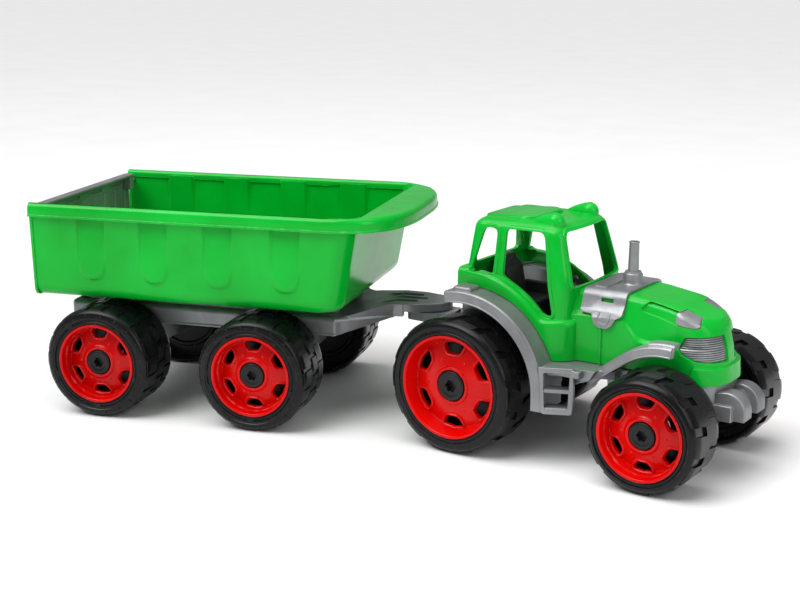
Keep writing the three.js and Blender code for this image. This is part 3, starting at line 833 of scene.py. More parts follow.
def bonnet_block(t):
    """The bonnet: full flanks below, a narrower top above a soft step, and a round nose that leans back."""
    turns = (24, 30, 36, 42, 48, 54, 60, 66, 72, 78, 83, 87, 89.5)
    places = [70 + 4 * i for i in range(21)] + [152, 155, 158, 161, 164, 167]
    places += [NOSE_START + (NOSE_TIP - NOSE_START) * math.sin(math.radians(angle)) for angle in turns]
    rings = []
    for x in sorted(places):
        width, top = bonnet_half_width(x), between(x, BONNET_TOP) - t
        draw_in = 0.82 + 0.14 * smooth_step(x, 140, 172)
        edge = 6.5 - 0.4 * t
        side, full = max(width * draw_in - t, 0.3), max(width - t, 0.35)
        step, crease = min(3.2, 0.12 * width), between(x, CREASE) - 0.4 * t
        half = [
            (full, 60), (full, crease - 2), (full - 0.2 * step, crease - 0.5),
            (full - 0.8 * step, crease + 1.1), (max(full - step, side), crease + 2.6),
        ]
        across = min(edge, side * 0.8)
        half += [(side - across * by, top - edge + edge * high) for by, high in quarter(1, range(0, 91, 18))]
        blend = smooth_step(x, 146, NOSE_TIP)
        draw_back = t * smooth_step(x, 150, NOSE_TIP)
        ring = []
        for y, z in both_halves(half):
            lean = blend * (NOSE_TIP + 1 - between(z, NOSE_FRONT))
            ring.append((x - draw_back - lean, y, z))
        rings.append(ring)
    return loft(rings)


# Outlines of openings: (x, z) seen from the side, or (y, z) for the two screens.
DOOR = rounded([
    (21, 134.5, 3), (20.5, 169.5, 4), (53, 170, 6), (64.5, 110, 3), (60.5, 108.4, 3),
    *[belt_point(angle, 1.4) for angle in (46, 51, 56, 61, 66, 71)],
])
QUARTER = rounded([(-7, 135.5, 3), (12.5, 134.5, 3), (13, 169, 5), (1.5, 169, 6)])
SCREEN = rounded([(-37, 130.5, 4), (37, 130.5, 4), (32, 170.5, 6), (-32, 170.5, 6)])
REAR_SCREEN = rounded([(-33, 139, 4), (33, 139, 4), (28.5, 168, 5), (-28.5, 168, 5)])
HEADLIGHT = rounded([(155.2, 112.8, 2.5), (175, 110.6, 4), (169.5, 121, 5), (155.6, 122.4, 2)])
GRILLE = rounded([
    (159.5, 97, 2), (161.5, 92.5, 3), (172, 87.5, 6), (188, 85.4), (205, 85), (205, 105.4), (164, 105, 3),
])
NOSE_BAR = [(6.6, 106), (4.6, 85)]  # (half-width, z) of the bar between the grilles


WINDOWS = [
    (DOOR, "y", -80, 80), (QUARTER, "y", -80, 80), (SCREEN, "x", 50, 95), (REAR_SCREEN, "x", -40, 10),
]


def window_bead(outline, axis, low, high):
    """A raised edge around an opening: the cab, grown a little, crossed with a ring."""
    ring = cut(prism(inset(outline, -2.6), axis, low, high), prism(outline, axis, low - 1, high + 1))
    return overlap(cab_block(-0.9), ring)


def bonnet_relief(outline, low, high, proud):
    """A raised area of the bonnet's flank inside an outline seen from the side."""
    return overlap(bonnet_block(-proud), prism(outline, "y", low, high))


def side_panels():
    """The long recess along each side of the bonnet's top, running into the headlight."""
    outline = rounded([(126.5, 119.8, 2.5), (157, 112.6, 1), (157, 122.4, 1), (134, 126.6, 4)])
    return [cut(panel, bonnet_block(1.5)) for panel in prism_pair(outline, 10, 60)]


def beside_nose_bar(side, gap=0.0):
    """The space on one side of the tapered bar between the grilles."""
    (high_half, high), (low_half, low) = NOSE_BAR
    edge = [(side * (low_half + gap), low - 10), (side * (high_half + gap), high + 10)]
    return prism([*edge, (side * 60, high + 10), (side * 60, low - 10)], "x", 140, 215)


def nose_openings():
    grilles = [overlap(prism(GRILLE, "y", *span(side, 1, 60)), beside_nose_bar(side)) for side in (-1, 1)]
    return prism_pair(HEADLIGHT, 15, 60) + grilles


def teardrop():
    """A roof bump with a round front and a long tail to the rear."""
    rings = []
    for i in range(17):
        turn = math.radians(180 * i / 16)
        along, size = math.cos(turn), max(math.sin(turn), 0.02)
        tail = max(-along, 0)
        x = along * (8 if along > 0 else 19)
        wide, high = 6.8 * size * (1 - 0.35 * tail), 7.6 * size * (1 - 0.45 * tail)
        around = [2 * math.pi * k / 24 for k in range(24)]
        rings.append([(x, wide * math.cos(a), high * math.sin(a)) for a in around])
    return loft(rings)


def roof_panel():
    """The raised middle of the roof, whose rear end runs out flush."""
    outline = rounded([(-48, -22, 6), (-10, -26, 9), (0, -18, 9), (0, 18, 9), (-10, 26, 9), (-48, 22, 6)])
    return moved(turned(prism(outline, "z", -10, 0, 2.4), -3.4, "Y"), x=38, z=178.5)


def body_shell():
    outer = union(cab_block(0), lower_block(0), bonnet_block(0))
    beads = [window_bead(*window) for window in WINDOWS]
    chin = bonnet_relief([(166, 60), (172, 83.2), (212, 82.3), (212, 60)], -80, 80, 2.2)
    bumps = [moved(turned(teardrop(), -3, "Y"), 55, side * 27.5, 176.1) for side in (-1, 1)]
    ribs = slab_pair((100, 101.6), (30, 38.4), (72, 104), edge=0.5)
    outer = union(outer, beads, chin, roof_panel(), bumps, ribs)
    inner = union(cab_block(WALL), lower_block(WALL), bonnet_block(WALL + 0.4))
    arch = prism(disc(0, REAR_RADIUS, GUARD_RADIUS + 0.5, 60), "y", -80, 80)
    hem = [
        (-80, 0), (-80, BODY_FLOOR), (126, BODY_FLOOR), (146, 72), (150, NOSE_FLOOR), (260, NOSE_FLOOR),
        (260, 0),
    ]
    windows = [prism(*window) for window in WINDOWS]
    return cut(outer, side_panels(), inner, arch, prism(hem, "y", -80, 80), windows, nose_openings())


def grille_insert():
    """The silver block behind the nose's openings: smooth headlights over finely ribbed grilles."""
    block = overlap(bonnet_block(WALL + 0.8), slab((147, 200), (-60, 60), (81, 130)))
    lamps = [bonnet_relief(inset(HEADLIGHT, 0.5), *span(side, 15.5, 60), -0.3) for side in (-1, 1)]
    ribs = []
    for i in range(13):
        z = 85.4 + 1.6 * i
        for side in (-1, 1):
            band = slab((154, 206), span(side, 1, 60), (z, z + 1), axis="y")
            opening = prism(inset(GRILLE, 0.5), "y", -61, 61)
            ribs.append(overlap(bonnet_block(1.7), overlap(band, opening, beside_nose_bar(side, 0.5))))
    return union(block, lamps, ribs)


# ---- Engine cover and exhaust --------------------------------------------------------------


def cover_flaps(outline, proud):
    """Smooth flaps down the bonnet's flanks, inside an outline seen from the side."""
    bulge = [(20, 122.5), (31.8, 122.5), (36.4, 116.5), (38.6, 112), (39.5, 108), (39.5, 100), (20, 100)]
    skins = [prism([(side * (y + proud), z) for y, z in bulge], "x", 80, 120) for side in (-1, 1)]
    return [overlap(skin, flap) for skin, flap in zip(skins, prism_pair(outline, 10, 60))]


def engine_cover():
    """A saddle over the bonnet with a rounded tab down each side, a plate and the exhaust's socket."""
    outline = rounded([
        (83, 114.2, 2), (93, 113.8, 2), (95.4, 107.5, 3), (99, 104.4, 4), (105.5, 104, 4), (110, 107, 4),
        (112.5, 112, 2), (117, 114.6, 2), (117.6, 142), (83, 142),
    ])
    saddle = overlap(bonnet_block(-2.2), prism(outline, "y", -60, 60))
    plate = overlap(bonnet_block(-3.2), slab((85.5, 98.5), (-25, 25), (120, 142), corner=4))
    outer, inner = arc(103, 111.4, 5.0, 180, 360, 10), arc(103, 111.4, 3.6, 360, 180, 10)
    mark = [(98, 116), *outer, (108, 116), (106.6, 116), *inner, (99.4, 116)]
    foot_profile = [
        (0, 126), (10, 126), (9.4, 131), (8.4, 131.9), (7.4, 133.4), (7.4, 138.6), (6.9, 139.4), (6.2, 139.7),
        (6.2, 141), (0, 141),
    ]
    foot = upright(foot_profile, 48, EXHAUST_X)
    slots = slab_pair((98, 107.6), (20, 60), (122.6, 125.6), corner=0.6, axis="y")
    body = union(saddle, cover_flaps(outline, 0), cover_flaps(mark, 0.8), plate, foot)
    return cut(body, slots, bonnet_block(-0.25))


def exhaust_pipe():
    top = EXHAUST_TOP
    profile = [
        (0, 133.5), (4.3, 133.5), (4.1, 142), (3.7, top - 1.2), (4, top - 1), (4, top - 0.3), (3.7, top),
        (2.9, top), (2.6, top - 0.4), (2.6, top - 7), (0, top - 7),
    ]
    return upright(profile, 40, EXHAUST_X)


# ---- Tractor chassis -----------------------------------------------------------------------


def sweep_guard(path, section):
    """A mudguard: a section of (depth, y) carried along a path of (x, z, outward x, outward z)."""
    return loft([
        [(x + out_x * depth, y, z + out_z * depth) for depth, y in section] for x, z, out_x, out_z in path
    ])


def arc_path(centre_x, centre_z, radius_at, start, end, steps):
    """A mudguard's path about a wheel, whose radius follows from the angle."""
    path = []
    for i in range(steps + 1):
        angle = start + (end - start) * i / steps
        out = (math.cos(math.radians(angle)), math.sin(math.radians(angle)))
        radius = radius_at(angle)
        path.append((centre_x + radius * out[0], centre_z + radius * out[1], *out))
    return path


def guard_section(inside, face, side, skirt, thick=2.6):
    """The hooked section of a mudguard: a flat top, a round outer corner and a turned-down face."""
    half = [(0, inside)] + [(-by, face - 2.2 + high) for by, high in quarter(2.2, (0, 22, 45, 68, 90))]
    half += [
        (-skirt + 1.4, face), (-skirt + 0.9, face + 0.5), (-skirt, face + 0.4), (-skirt, face - 2),
        (-thick - 1.2, face - 2.4), (-thick, face - 3.4), (-thick, inside),
    ]
    return [(depth, side * y) for depth, y in half]


def rear_guard(side):
    """The mudguard with its straight tail, the wall inside it and its lamp block."""
    path = arc_path(0, REAR_RADIUS, lambda angle: GUARD_RADIUS, 103, 6, 32)
    path += [(GUARD_RADIUS, 52, 1, 0), (GUARD_RADIUS, 41.6, 1, 0)]
    guard = sweep_guard(path, guard_section(GUARD_INSIDE, GUARD_FACE, side, 9))
    over_wheel = arc(0, REAR_RADIUS, GUARD_RADIUS - 0.6, 6, 103, 24)
    wall_outline = [(GUARD_RADIUS - 0.5, 58), *over_wheel, (-18, 58)]
    wall = prism(wall_outline, "y", *span(side, GUARD_INSIDE - WALL, GUARD_INSIDE + 2))
    lamp = slab((-9.5, 6.5), span(side, 53, 68.5), (118, 127), edge=2.2, corner=3.2)
    return [guard, wall, lamp]


def ladder(side):
    """The two-window step, angled in towards the bonnet, narrower at its foot."""
    outline = rounded([(1.2, 41, 2.5), (24.6, 41, 3), (25.6, 58, 1), (25, 77, 1.5), (-1.5, 77, 1)])
    opening = rounded([(3.6, 45.6, 1.5), (20.8, 45.6, 1.5), (22, 73, 1.5), (2.4, 73, 1.5)])
    ring = cut(prism(outline, "y", 0, 4.4, 0.9), prism(opening, "y", -3, 8))
    treads = [slab((1.5, 23), (-7, 3.8), (z, z + 2.8), edge=0.7) for z in (43.4, 57.4)]
    made = union(ring, treads)
    if side < 0:
        placed(made, Matrix.Scale(-1, 4, Vector((0, 1, 0))))
        made.data.flip_normals()
    turned(made, 24 * -side, "Z")
    return moved(made, GUARD_RADIUS - 2.6, side * (GUARD_FACE - 2.4), 0)


def step_bracket(side):
    """The plate from the step's top to the front mudguard's tail."""
    outline = rounded([(88, 75.8), (88, 63.5, 1), (91, 63.5, 2), (103, 68.5, 2), (107, 75.8)])
    return prism(outline, "y", *span(side, 46, 57), 0.7)


def front_guard(side):
    """The small mudguard: a long low tail, a raised rim and a stepped crown at its front end."""
    centre = (WHEELBASE, FRONT_RADIUS)
    path = arc_path(*centre, lambda angle: 57.2 + 8 * smooth_step(angle, 128, 170), 161, 84, 26)
    tail = sweep_guard(path, guard_section(37.2, 49.6, side, 7.5, 2.4))
    crown_path = arc_path(*centre, lambda angle: 59.4, 103, 83, 8)
    crown = sweep_guard(crown_path, guard_section(37.2, 47.4, side, 9.5, 3))
    return [tail, crown]


def weights():
    """Two round-topped front weights and the lower rib between them."""
    outline = [(184, 45.2), (207, 45.6), (208.4, 47)] + arc(193.6, 51.4, 14.8, -4, 96, 14) + [(184, 65)]
    blocks = prism_pair(outline, 6.4, 20, 1.4)
    rib = prism([(180, 47)] + arc(193.4, 53.4, 8.6, -40, 90, 10) + [(180, 62)], "y", -7, 7, 0.6)
    pads = slab_pair((182, 199), (19, 23.4), (45.2, 57), edge=0.8, corner=1)
    return [*blocks, rib, *pads]


def nose_block():
    """The chassis under the nose, rounded in plan like the bonnet above it."""
    places = (130, 145, 156, 164, 171, 177, 182, 185.5, 188)
    half = [(118, 32)] + [(x, max(bonnet_half_width(x) - 1.4, 0.5)) for x in places]
    return prism(mirrored(half), "z", FRAME_FLOOR, NOSE_FLOOR - GAP, 1.4)


def running_boards():
    """The flat between the mudguards, which narrows towards the front wheels."""
    top = BODY_FLOOR - 0.5
    slope = rounded([(72, 64), (97, 56), (118, 46), (118, 30), (72, 30)])
    slopes = [prism([(x, side * y) for x, y in slope], "z", 69, top, 0.8) for side in (-1, 1)]
    return [slab((56, 98), (-63.5, 63.5), (70, top), edge=0.8, corner=3), *slopes]


def tow_arm():
    """The arm behind the tractor, on its post, with the tow peg."""
    top = HITCH_Z - 0.6
    arm = slab((TOW_X - 9, -49), (-16, 16), (top - 8, top), edge=1, corner=5)
    post = slab((-56, -48), (-16, 16), (44, top), edge=0.8)
    peg_profile = [(0, top - 3), (5, top - 3), (5, HITCH_Z + 3.6), (4.2, HITCH_Z + 4.4), (0, HITCH_Z + 4.4)]
    return [arm, post, upright(peg_profile, 32, TOW_X)]


def tractor_chassis():
    """A frame open below, with mudguards, steps, weights and tow arm, and room for the wheels."""
    inner = GUARD_INSIDE - 2
    frame_block = slab((-50, 124), (-inner, inner), (FRAME_FLOOR, BODY_FLOOR - 0.6), edge=1)
    hollows = [
        slab((-47, 120), (3 - inner, inner - 3), (30, BODY_FLOOR - 4)),
        slab((121, 180), (-22, 22), (30, NOSE_FLOOR - 4)),
        slab((56, 108), (-45, 45), (30, 67), corner=3, axis="y"),
    ]
    body = cut(union(frame_block, nose_block()), hollows)
    sides = [[*rear_guard(side), ladder(side), step_bracket(side), *front_guard(side)] for side in (-1, 1)]
    body = union(body, running_boards(), weights(), tow_arm(), sides)
    bores, room = [], []
    for x, radius, inside in ((0, REAR_RADIUS, 44), (WHEELBASE, FRONT_RADIUS, 41.4)):
        bores.append(prism(disc(x, radius, AXLE_BORE, 24), "y", -60, 60))
        room += prism_pair(disc(x, radius, radius + 2.6, 90), inside, 95)
    return cut(body, bores, room)


# ---- Cab interior --------------------------------------------------------------------------


def cab_interior():
    """Seat, floor and dashboard in one moulding."""
    floor = slab((-13, 78), (-35.5, 35.5), (75.6, 78), edge=0.5)
    cushion = slab((2, 31), (-17, 17), (78, 109), edge=3.5, corner=5)
    back_side = rounded([(-3, 104, 2), (10, 106, 3), (5, 131, 3), (1, 136.5, 3), (-5, 135, 3), (-6, 112, 3)])
    back = prism(back_side, "y", -15, 15, 2.6)
    headrest = slab((-6.5, 2.5), (-9.5, 9.5), (131, 141), edge=2.6, corner=2.6, axis="x")
    arms = slab_pair((2, 27), (18, 22), (106, 117), edge=1.4, corner=3.5, axis="y")
    floor_ribs = [slab((32, 51), (8 * i - 0.8, 8 * i + 0.8), (77, 79.6), edge=0.4) for i in range(-3, 4)]
    dash_side = rounded([(54, 77), (56, 108, 3), (61, 117, 3), (75.5, 118.5, 2), (75.5, 77)])
    dash = prism(dash_side, "y", -26, 26, 1.2)
    consoles = slab_pair((20, 52), (25, 35), (77, 92), edge=1.5, corner=2)
    column = prism([(54, 104), (47.5, 116.6), (50, 119), (62, 112)], "y", -3, 3, 0.6)
    made = union(floor, cushion, back, headrest, arms, floor_ribs, dash, consoles, column)
    room = prism(disc(0, REAR_RADIUS, 25, 36), "y", -80, 80)
    return cut(made, room)


def steering_wheel():
    """A rim and a dished hub with radial ribs."""
    rings = []
    for i in range(48):
        turn = math.radians(7.5 * i)
        section = disc(12, 0, 1.7, 12)
        rings.append([(reach * math.cos(turn), reach * math.sin(turn), z) for reach, z in section])
    rim = loft(rings, ring_closed=True)
    hub = upright([(0, -0.8), (11.6, -0.8), (11.6, 0.3), (4, 0.5), (3.4, 2), (0, 2.4)], 40, 0)
    ribs = [turned(slab((2.5, 11.5), (-0.6, 0.6), (0, 1.3), edge=0.3), 36 * i, "Z") for i in range(10)]
    return moved(turned(union(rim, hub, ribs), -35, "Y"), 48, 0, 121.5)


# ---- Trailer tub ---------------------------------------------------------------------------


def rib_depth(x, z, half):
    """How far a rib's face stands inside (or, below, outside) the tub's side at a place."""
    for middle in RIB_PLACES:
        wide = RIB_HALF * (0.92 + 0.08 * max(z - RIB_FOOT, 0) / (TUB_TOP - RIB_FOOT))
        away = math.hypot(x - middle, min(z - RIB_FOOT, 0)) - wide
        inside = 1 - smooth_step(away, -1.1, 1.1)
        if inside > 0:
            face = TUB_HALF + 0.7 - 5.0 * (z - 108) / (TUB_TOP - 108)
            return inside * (half - face)
    return 0.0


def side_places():
    """Places along the tub's side, close together at the ribs' flanks."""
    places = [TUB_REAR]
    for middle in RIB_PLACES:
        for step in (-2.2, -1.1, -0.5, 0, 0.5, 1.1, 2.2):
            flank = RIB_HALF - 1 + step
            places += [middle - flank, middle + flank]
        places += [middle + RIB_HALF * share for share in (-0.7, -0.5, -0.25, 0, 0.25, 0.5, 0.7)]
    return sorted(places)


def tub_block(t):
    """The tub's body: a rounded box that leans out a little, with ribs and its rear end square."""
    bottom_edge = 9.5 - t
    foot = TUB_BOTTOM + t + bottom_edge
    levels = [(foot - high, by) for by, high in reversed(quarter(bottom_edge, range(0, 91, 18)))]
    heights = (107, 109, 110.5, 111.5, 112.5, 113.5, 115, 117, 119.5, 122, 125, 130, 145, 160, TUB_TOP - 0.4)
    levels += [(z, 0) for z in heights]
    along = side_places()
    rings = []
    for z, by in levels:
        rise = (z - TUB_BOTTOM) / (TUB_TOP - TUB_BOTTOM)
        face = TUB_HALF - 2.2 * (1 - rise)
        half = face - t - by
        front = TUB_FRONT - 14 * (1 - rise) - t - by
        corner = 15 - 0.8 * t
        right = [(x, -half + (rib_depth(x, z, face) if by == 0 else 0)) for x in along]
        bend = arc(front - corner, -half + corner, corner, -90, 0, 7)
        rings.append([(x, y, z) for x, y in mirrored(right + bend)])
    return loft(rings)


def rim_stations():
    """Pairs of inner and outer points round the tub's rim, from its rear right to its rear left."""
    inner_half, outer_half, corner, inner_front = TUB_HALF - 4, TUB_HALF + 3.4, 12, TUB_FRONT + 0.5
    along = (TUB_REAR - 1.9, -150, -100, -50, 0, 30, 46, 58)
    right = [((u, -inner_half), (u, -outer_half)) for u in along]
    turns, corner_share = 18, 0.34
    for i in range(1, turns + 1):
        t = i / turns
        sweep = math.radians(90 * t)
        bend = math.radians(90 * min(t / corner_share, 1))
        straight = 1 - max(t - corner_share, 0) / (1 - corner_share)
        inner_u = inner_front - corner * (1 - math.sin(bend))
        inner_v = (inner_half - corner * (1 - math.cos(bend))) * straight
        outer_u = 60 + 57.5 * math.sin(sweep) ** 0.9
        outer_v = outer_half * max(math.cos(sweep), 0) ** 0.66 if t < 1 else 0.0
        right.append(((inner_u, -inner_v), (outer_u, -outer_v)))
    left = [((a[0], -a[1]), (b[0], -b[1])) for a, b in reversed(right[:-1])]
    return right + left


def tub_rim():
    """The rolled rim, open underneath, which widens to a visor at the front."""
    rings = []
    for inner, outer in rim_stations():
        start, end = Vector(inner), Vector(outer)
        reach = (end - start).length
        out = (end - start) / reach
        section = [
            (0, -6), (0, -2.8), (0.5, -1.4), (1.6, -0.4), (2.8, 0), (reach / 2, 0), (reach - 4.8, 0),
            (reach - 3.4, -0.4), (reach - 2.1, -1.4), (reach - 1.2, -2.9), (reach - 0.8, -5),
            (reach - 0.7, -9.2), (reach, -9.6), (reach, -11), (reach - 2, -11), (reach - 2.6, -5),
            (reach - 4.6, -2.5), (2.4, -2.4), (2.2, -6),
        ]
        rings.append([(start.x + out.x * d, start.y + out.y * d, TUB_TOP + z) for d, z in section])
    return loft(rings)


def back_flange():
    """The raised frame round the tub's open rear end."""
    low, high = TUB_HALF - 1.4, TUB_HALF + 1
    outline = rounded([
        (-low, TUB_BOTTOM - 0.2, 8), (low, TUB_BOTTOM - 0.2, 8), (high, TUB_TOP - 6), (-high, TUB_TOP - 6),
    ])
    inside = TUB_HALF - 6
    return cut(
        prism(outline, "x", TUB_REAR - 1.8, TUB_REAR + 0.6, 0.4),
        prism(inset(outline, 3.8), "x", TUB_REAR - 3, TUB_REAR + 2),
        slab((TUB_REAR - 4, TUB_REAR + 3), (-inside, inside), (TUB_TOP - 30, TUB_TOP + 5)),
    )


def tub():
    """The tub's thin shell, open at the rear, with its rim, flange and two hinge lugs."""
    inside = TUB_HALF - WALL - 2.4
    back_opening = slab((TUB_REAR - 10, TUB_REAR + 4), (-inside, inside), (TUB_BOTTOM + WALL, TUB_TOP + 8))
    above = slab((-300, 200), (-120, 120), (TUB_TOP - 3.2, TUB_TOP + 20))
    body = cut(tub_block(0), tub_block(WALL), back_opening, above)
    lug_side = rounded([
        (-182, 100), (-181.5, 88, 3), (-179, 86, 3), (-175, 86, 3), (-172.5, 88, 3), (-171, 100),
    ])
    body = union(body, tub_rim(), back_flange(), prism_pair(lug_side, 38, 44, 0.5))
    hinge_bore = prism(disc(*TUB_PIVOT, 2.4, 18), "y", -60, 60)
    gate_bore = prism(disc(*GATE_PIVOT, 2.4, 18), "y", -90, 90)
    return cut(body, hinge_bore, gate_bore)


def tailgate():
    """Tail board: a flat top bar, slots below it, upright corrugations and two stub pins."""
    half, rear, foot = TUB_HALF - 10, TUB_REAR - 4, TUB_BOTTOM + 3.8
    plate_half = half + 3.4
    board = [(-plate_half, 170), (-plate_half, foot, 6), (plate_half, foot, 6), (plate_half, 170)]
    plate = prism(rounded(board), "x", rear + 1.6, rear + 4, 0.5)
    top = slab((rear + 3, rear + 11.9), (1.2 - half, half - 1.2), (169.4, 172), edge=0.8)
    foot_bar = slab((rear, rear + 4.6), (8 - plate_half, plate_half - 8), (foot, foot + 8), edge=1.2)
    ribs, count = [], 9
    for i in range(count):
        y = (plate_half - 6) * (2 * i / (count - 1) - 1)
        ribs.append(slab((rear, rear + 4.9), (y - 4.2, y + 4.2), (foot + 4, 160), edge=1.2, corner=1.2))
    slots = []
    for share in (-0.72, -0.24, 0.24, 0.72):
        y = share * plate_half
        slots.append(slab((rear + 2.6, rear + 9), (y - 11, y + 11), (163.2, 165.4)))
    arms = slab_pair((rear + 3.8, rear + 11.8), (half - 8, half - 1), (158, 170.5), edge=0.8, corner=2)
    stubs = prism_pair(disc(*GATE_PIVOT, 1.9, 18), half - 4, half + 8.6, 0.3)
    return union(cut(union(plate, foot_bar, ribs), slots), top, arms, stubs)


# ---- Trailer chassis -----------------------------------------------------------------------

DECK_HALF = [(-182, 51), (-179, 54), (54, 54), (58, 50.5), (64, 46.5), (95, 24)]


def deck_ring(by, z):
    outline = rounded([(a, b, 3) if 50 < a < 90 or a < -170 else (a, b) for a, b in mirrored(DECK_HALF)])
    return [(x, y, z) for x, y in inset(outline, by)]


def deck():
    """The deck with its skirt, open below, and sloped away under the drawbar."""
    edge, bottom = 4, DECK_TOP - DECK_SKIRT
    levels = [(-0.8, bottom), (-0.8, bottom + 1.4), (0, bottom + 2)]
    levels += [(by, DECK_TOP - edge + high) for by, high in quarter(edge, (0, 22, 45, 68, 90))]
    block = loft([deck_ring(by, z) for by, z in levels])
    hollow = loft([deck_ring(3, z) for z in (60, DECK_TOP - 3.2)])
    under_slope = prism([(54, 40), (54, bottom), (97, 82), (97, 40)], "y", -80, 80)
    return cut(block, hollow, under_slope)


def drawbar():
    """The neck that tapers from the deck, its cheeks, and the round-ended tongue over the peg."""
    top, neck = HITCH_Z + 7, HITCH_U - 4
    neck_plan = mirrored([(54, 48), (64, 45), (95, 23.4)])
    neck_side = [(54, DECK_TOP - 4), (58, DECK_TOP - 0.5), (95, top), (95, DECK_TOP - 4)]
    cheeks = slab_pair((92, 103), (19.6, 23.6), (82, top - 0.2), edge=0.8)
    round_end = arc(HITCH_U + 6, 0, 17, -62, 62, 12)
    tongue_plan = [(94, -23.6), (neck, -22.4), *round_end, (neck, 22.4), (94, 23.6)]
    tongue = prism(tongue_plan, "z", HITCH_Z, top, 0.9)
    return [overlap(prism(neck_plan, "z", 60, 120), prism(neck_side, "y", -60, 60)), cheeks, tongue]


def drawbar_channels():
    """The sunk channels in the drawbar's top: one each side and a narrow one between."""
    beside = rounded([(68, 8, 2), (66, 30, 3), (92, 15, 2), (112, 13.5, 2), (112, 7, 2)])
    sides = [prism([(x, side * y) for x, y in beside], "z", 89.2, 130) for side in (-1, 1)]
    centre = rounded([(72, -4.5, 2), (118, -3.5, 2), (118, 3.5, 2), (72, 4.5, 2)])
    return [*sides, prism(centre, "z", 91.2, 130)]


def trailer_chassis():
    """The deck on its axle boxes, with hinge lugs and rests for the tub, and the drawbar."""
    axles, low, high = (0, -TRAILER_BASE), DECK_TOP - 1, DECK_TOP + 2.4
    box = {"y": (-49.6, 49.6), "z": (TRAILER_RADIUS - 8, DECK_TOP - 2), "edge": 1, "corner": 2}
    boxes = [slab((x - 13, x + 13), **box) for x in axles]
    lug_side = rounded([
        (-181.5, 78), (-181.5, 92, 3), (-179, 93.6, 3), (-175, 93.6, 3), (-172, 91, 3), (-169, 83),
    ])
    lugs = prism_pair(lug_side, 30, 36, 0.5)
    rests = slab_pair((30, 50), (24, 36), (low, TUB_BOTTOM - GAP), edge=0.8, corner=2)
    deck_ribs = [slab((-168, 24), (y - 1.2, y + 1.2), (low, high), edge=0.5) for y in (-44, -15, 15, 44)]
    body = union(deck(), drawbar(), boxes, lugs, rests, deck_ribs)
    socket = upright([(0, 60), (5.5, 60), (5.5, HITCH_Z + 5), (0, HITCH_Z + 5)], 32, HITCH_U)
    bores = [prism(disc(x, TRAILER_RADIUS, AXLE_BORE, 24), "y", -80, 80) for x in axles]
    pin = prism(disc(*TUB_PIVOT, 2.3, 18), "y", -60, 60)
    return cut(body, drawbar_channels(), socket, bores, pin)


def tub_hinge_pin():
    return moved(rod(45.6, 2, 0.4, 24), x=TUB_PIVOT.x, z=TUB_PIVOT.y)


# A piece's function has the name of its node: (function, body, material, rounding of its edges).
PIECES = [
    (body_shell, "tractor", "green_plastic", 0.35),
    (grille_insert, "tractor", "silver_plastic", 0.1),
    (engine_cover, "tractor", "silver_plastic", 0.3),
    (exhaust_pipe, "tractor", "silver_plastic", 0),
    (tractor_chassis, "tractor", "silver_plastic", 0.3),
    (cab_interior, "tractor", "dark_plastic", 0.25),
    (steering_wheel, "tractor", "dark_plastic", 0),
    (tub, "tub", "green_plastic", 0),
    (tailgate, "tailgate", "silver_plastic", 0.25),
    (trailer_chassis, "trailer", "silver_plastic", 0.3),
    (tub_hinge_pin, "trailer", "steel", 0),
]

# ---- Stage ---------------------------------------------------------------------------------

CAMERA_AZIMUTH = math.radians(34.75)
CAMERA_HEIGHT = math.radians(14.21)
CAMERA_DISTANCE = 1.0674
CAMERA_TARGET = Vector((-42.8, -89.6, 115.3))  # in the tractor's millimetres
CAMERA_LENS = 63.13


def stand(name, data, place=(0, 0, 0), facing=None):
    """Puts a stage object at a place in metres, facing along a direction."""
    made = bpy.data.objects.new(name, data)
    made.location = place
    if facing is not None:
        made.rotation_mode = "QUATERNION"
        made.rotation_quaternion = Vector(facing).to_track_quat("-Z", "Y")
    bpy.context.scene.collection.objects.link(made)
    return made


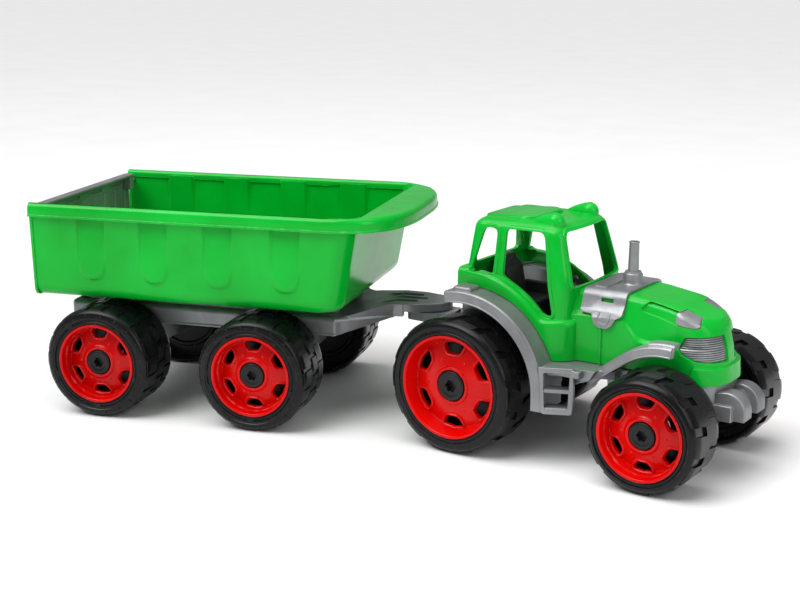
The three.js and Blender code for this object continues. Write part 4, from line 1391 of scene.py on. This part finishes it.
def put_camera():
    back = Vector((
        math.sin(CAMERA_AZIMUTH) * math.cos(CAMERA_HEIGHT),
        -math.cos(CAMERA_AZIMUTH) * math.cos(CAMERA_HEIGHT),
        math.sin(CAMERA_HEIGHT),
    ))
    place = TRACTOR @ CAMERA_TARGET + back * CAMERA_DISTANCE
    camera = stand("camera", bpy.data.cameras.new("camera"), place, -back)
    camera.data.lens = CAMERA_LENS
    camera.data.sensor_width = 36
    bpy.context.scene.camera = camera


def put_floor():
    reach = 14
    corners = [(-reach, -reach, 0), (reach, -reach, 0), (reach, reach, 0), (-reach, reach, 0)]
    floor = stand("floor", bpy.data.meshes.new("floor"))
    floor.data.from_pydata(corners, [], [(0, 1, 2, 3)])
    paper = Nodes("floor_paper")
    tone = paper.ramp(paper.noise(9, 3), [(0.3, (0.86, 0.86, 0.86)), (0.7, (0.89, 0.89, 0.89))])
    paper.put(paper.shader, {"Base Color": tone, "Roughness": 0.8})
    floor.data.materials.append(paper.material)


def softbox(name, place, size, power):
    """A rectangular lamp at a place in metres, facing the middle of the floor."""
    light = bpy.data.lights.new(name, "AREA")
    light.shape = "RECTANGLE"
    light.size, light.size_y = size
    light.energy = power
    stand(name, light, place, -Vector(place))


def put_lights():
    world = bpy.data.worlds.new("studio")
    world.use_nodes = True
    background = world.node_tree.nodes["Background"]
    background.inputs["Color"].default_value = (1, 1, 1, 1)
    background.inputs["Strength"].default_value = 0.3
    bpy.context.scene.world = world
    softbox("key_light", (-0.6, -1.4, 1.9), (1.2, 1.2), 16)
    softbox("side_light", (1.9, -0.5, 1.1), (0.9, 1.4), 10)
    softbox("top_light", (0.1, 0.3, 2.3), (2.2, 1.4), 12)
    sun = stand("sun", bpy.data.lights.new("sun", "SUN"), facing=(0.25, 0.4, -1))
    sun.data.energy = 2.3
    sun.data.angle = math.radians(55)


# ---- Build ---------------------------------------------------------------------------------

all_wheels()
all_axles()
for make, body, slot, edge in PIECES:
    finish_piece(make(), make.__name__, body, slot, TRACTOR if body == "tractor" else TRAILER, edge)
bpy.context.scene.view_settings.view_transform = "Standard"
put_camera()
put_floor()
put_lights()
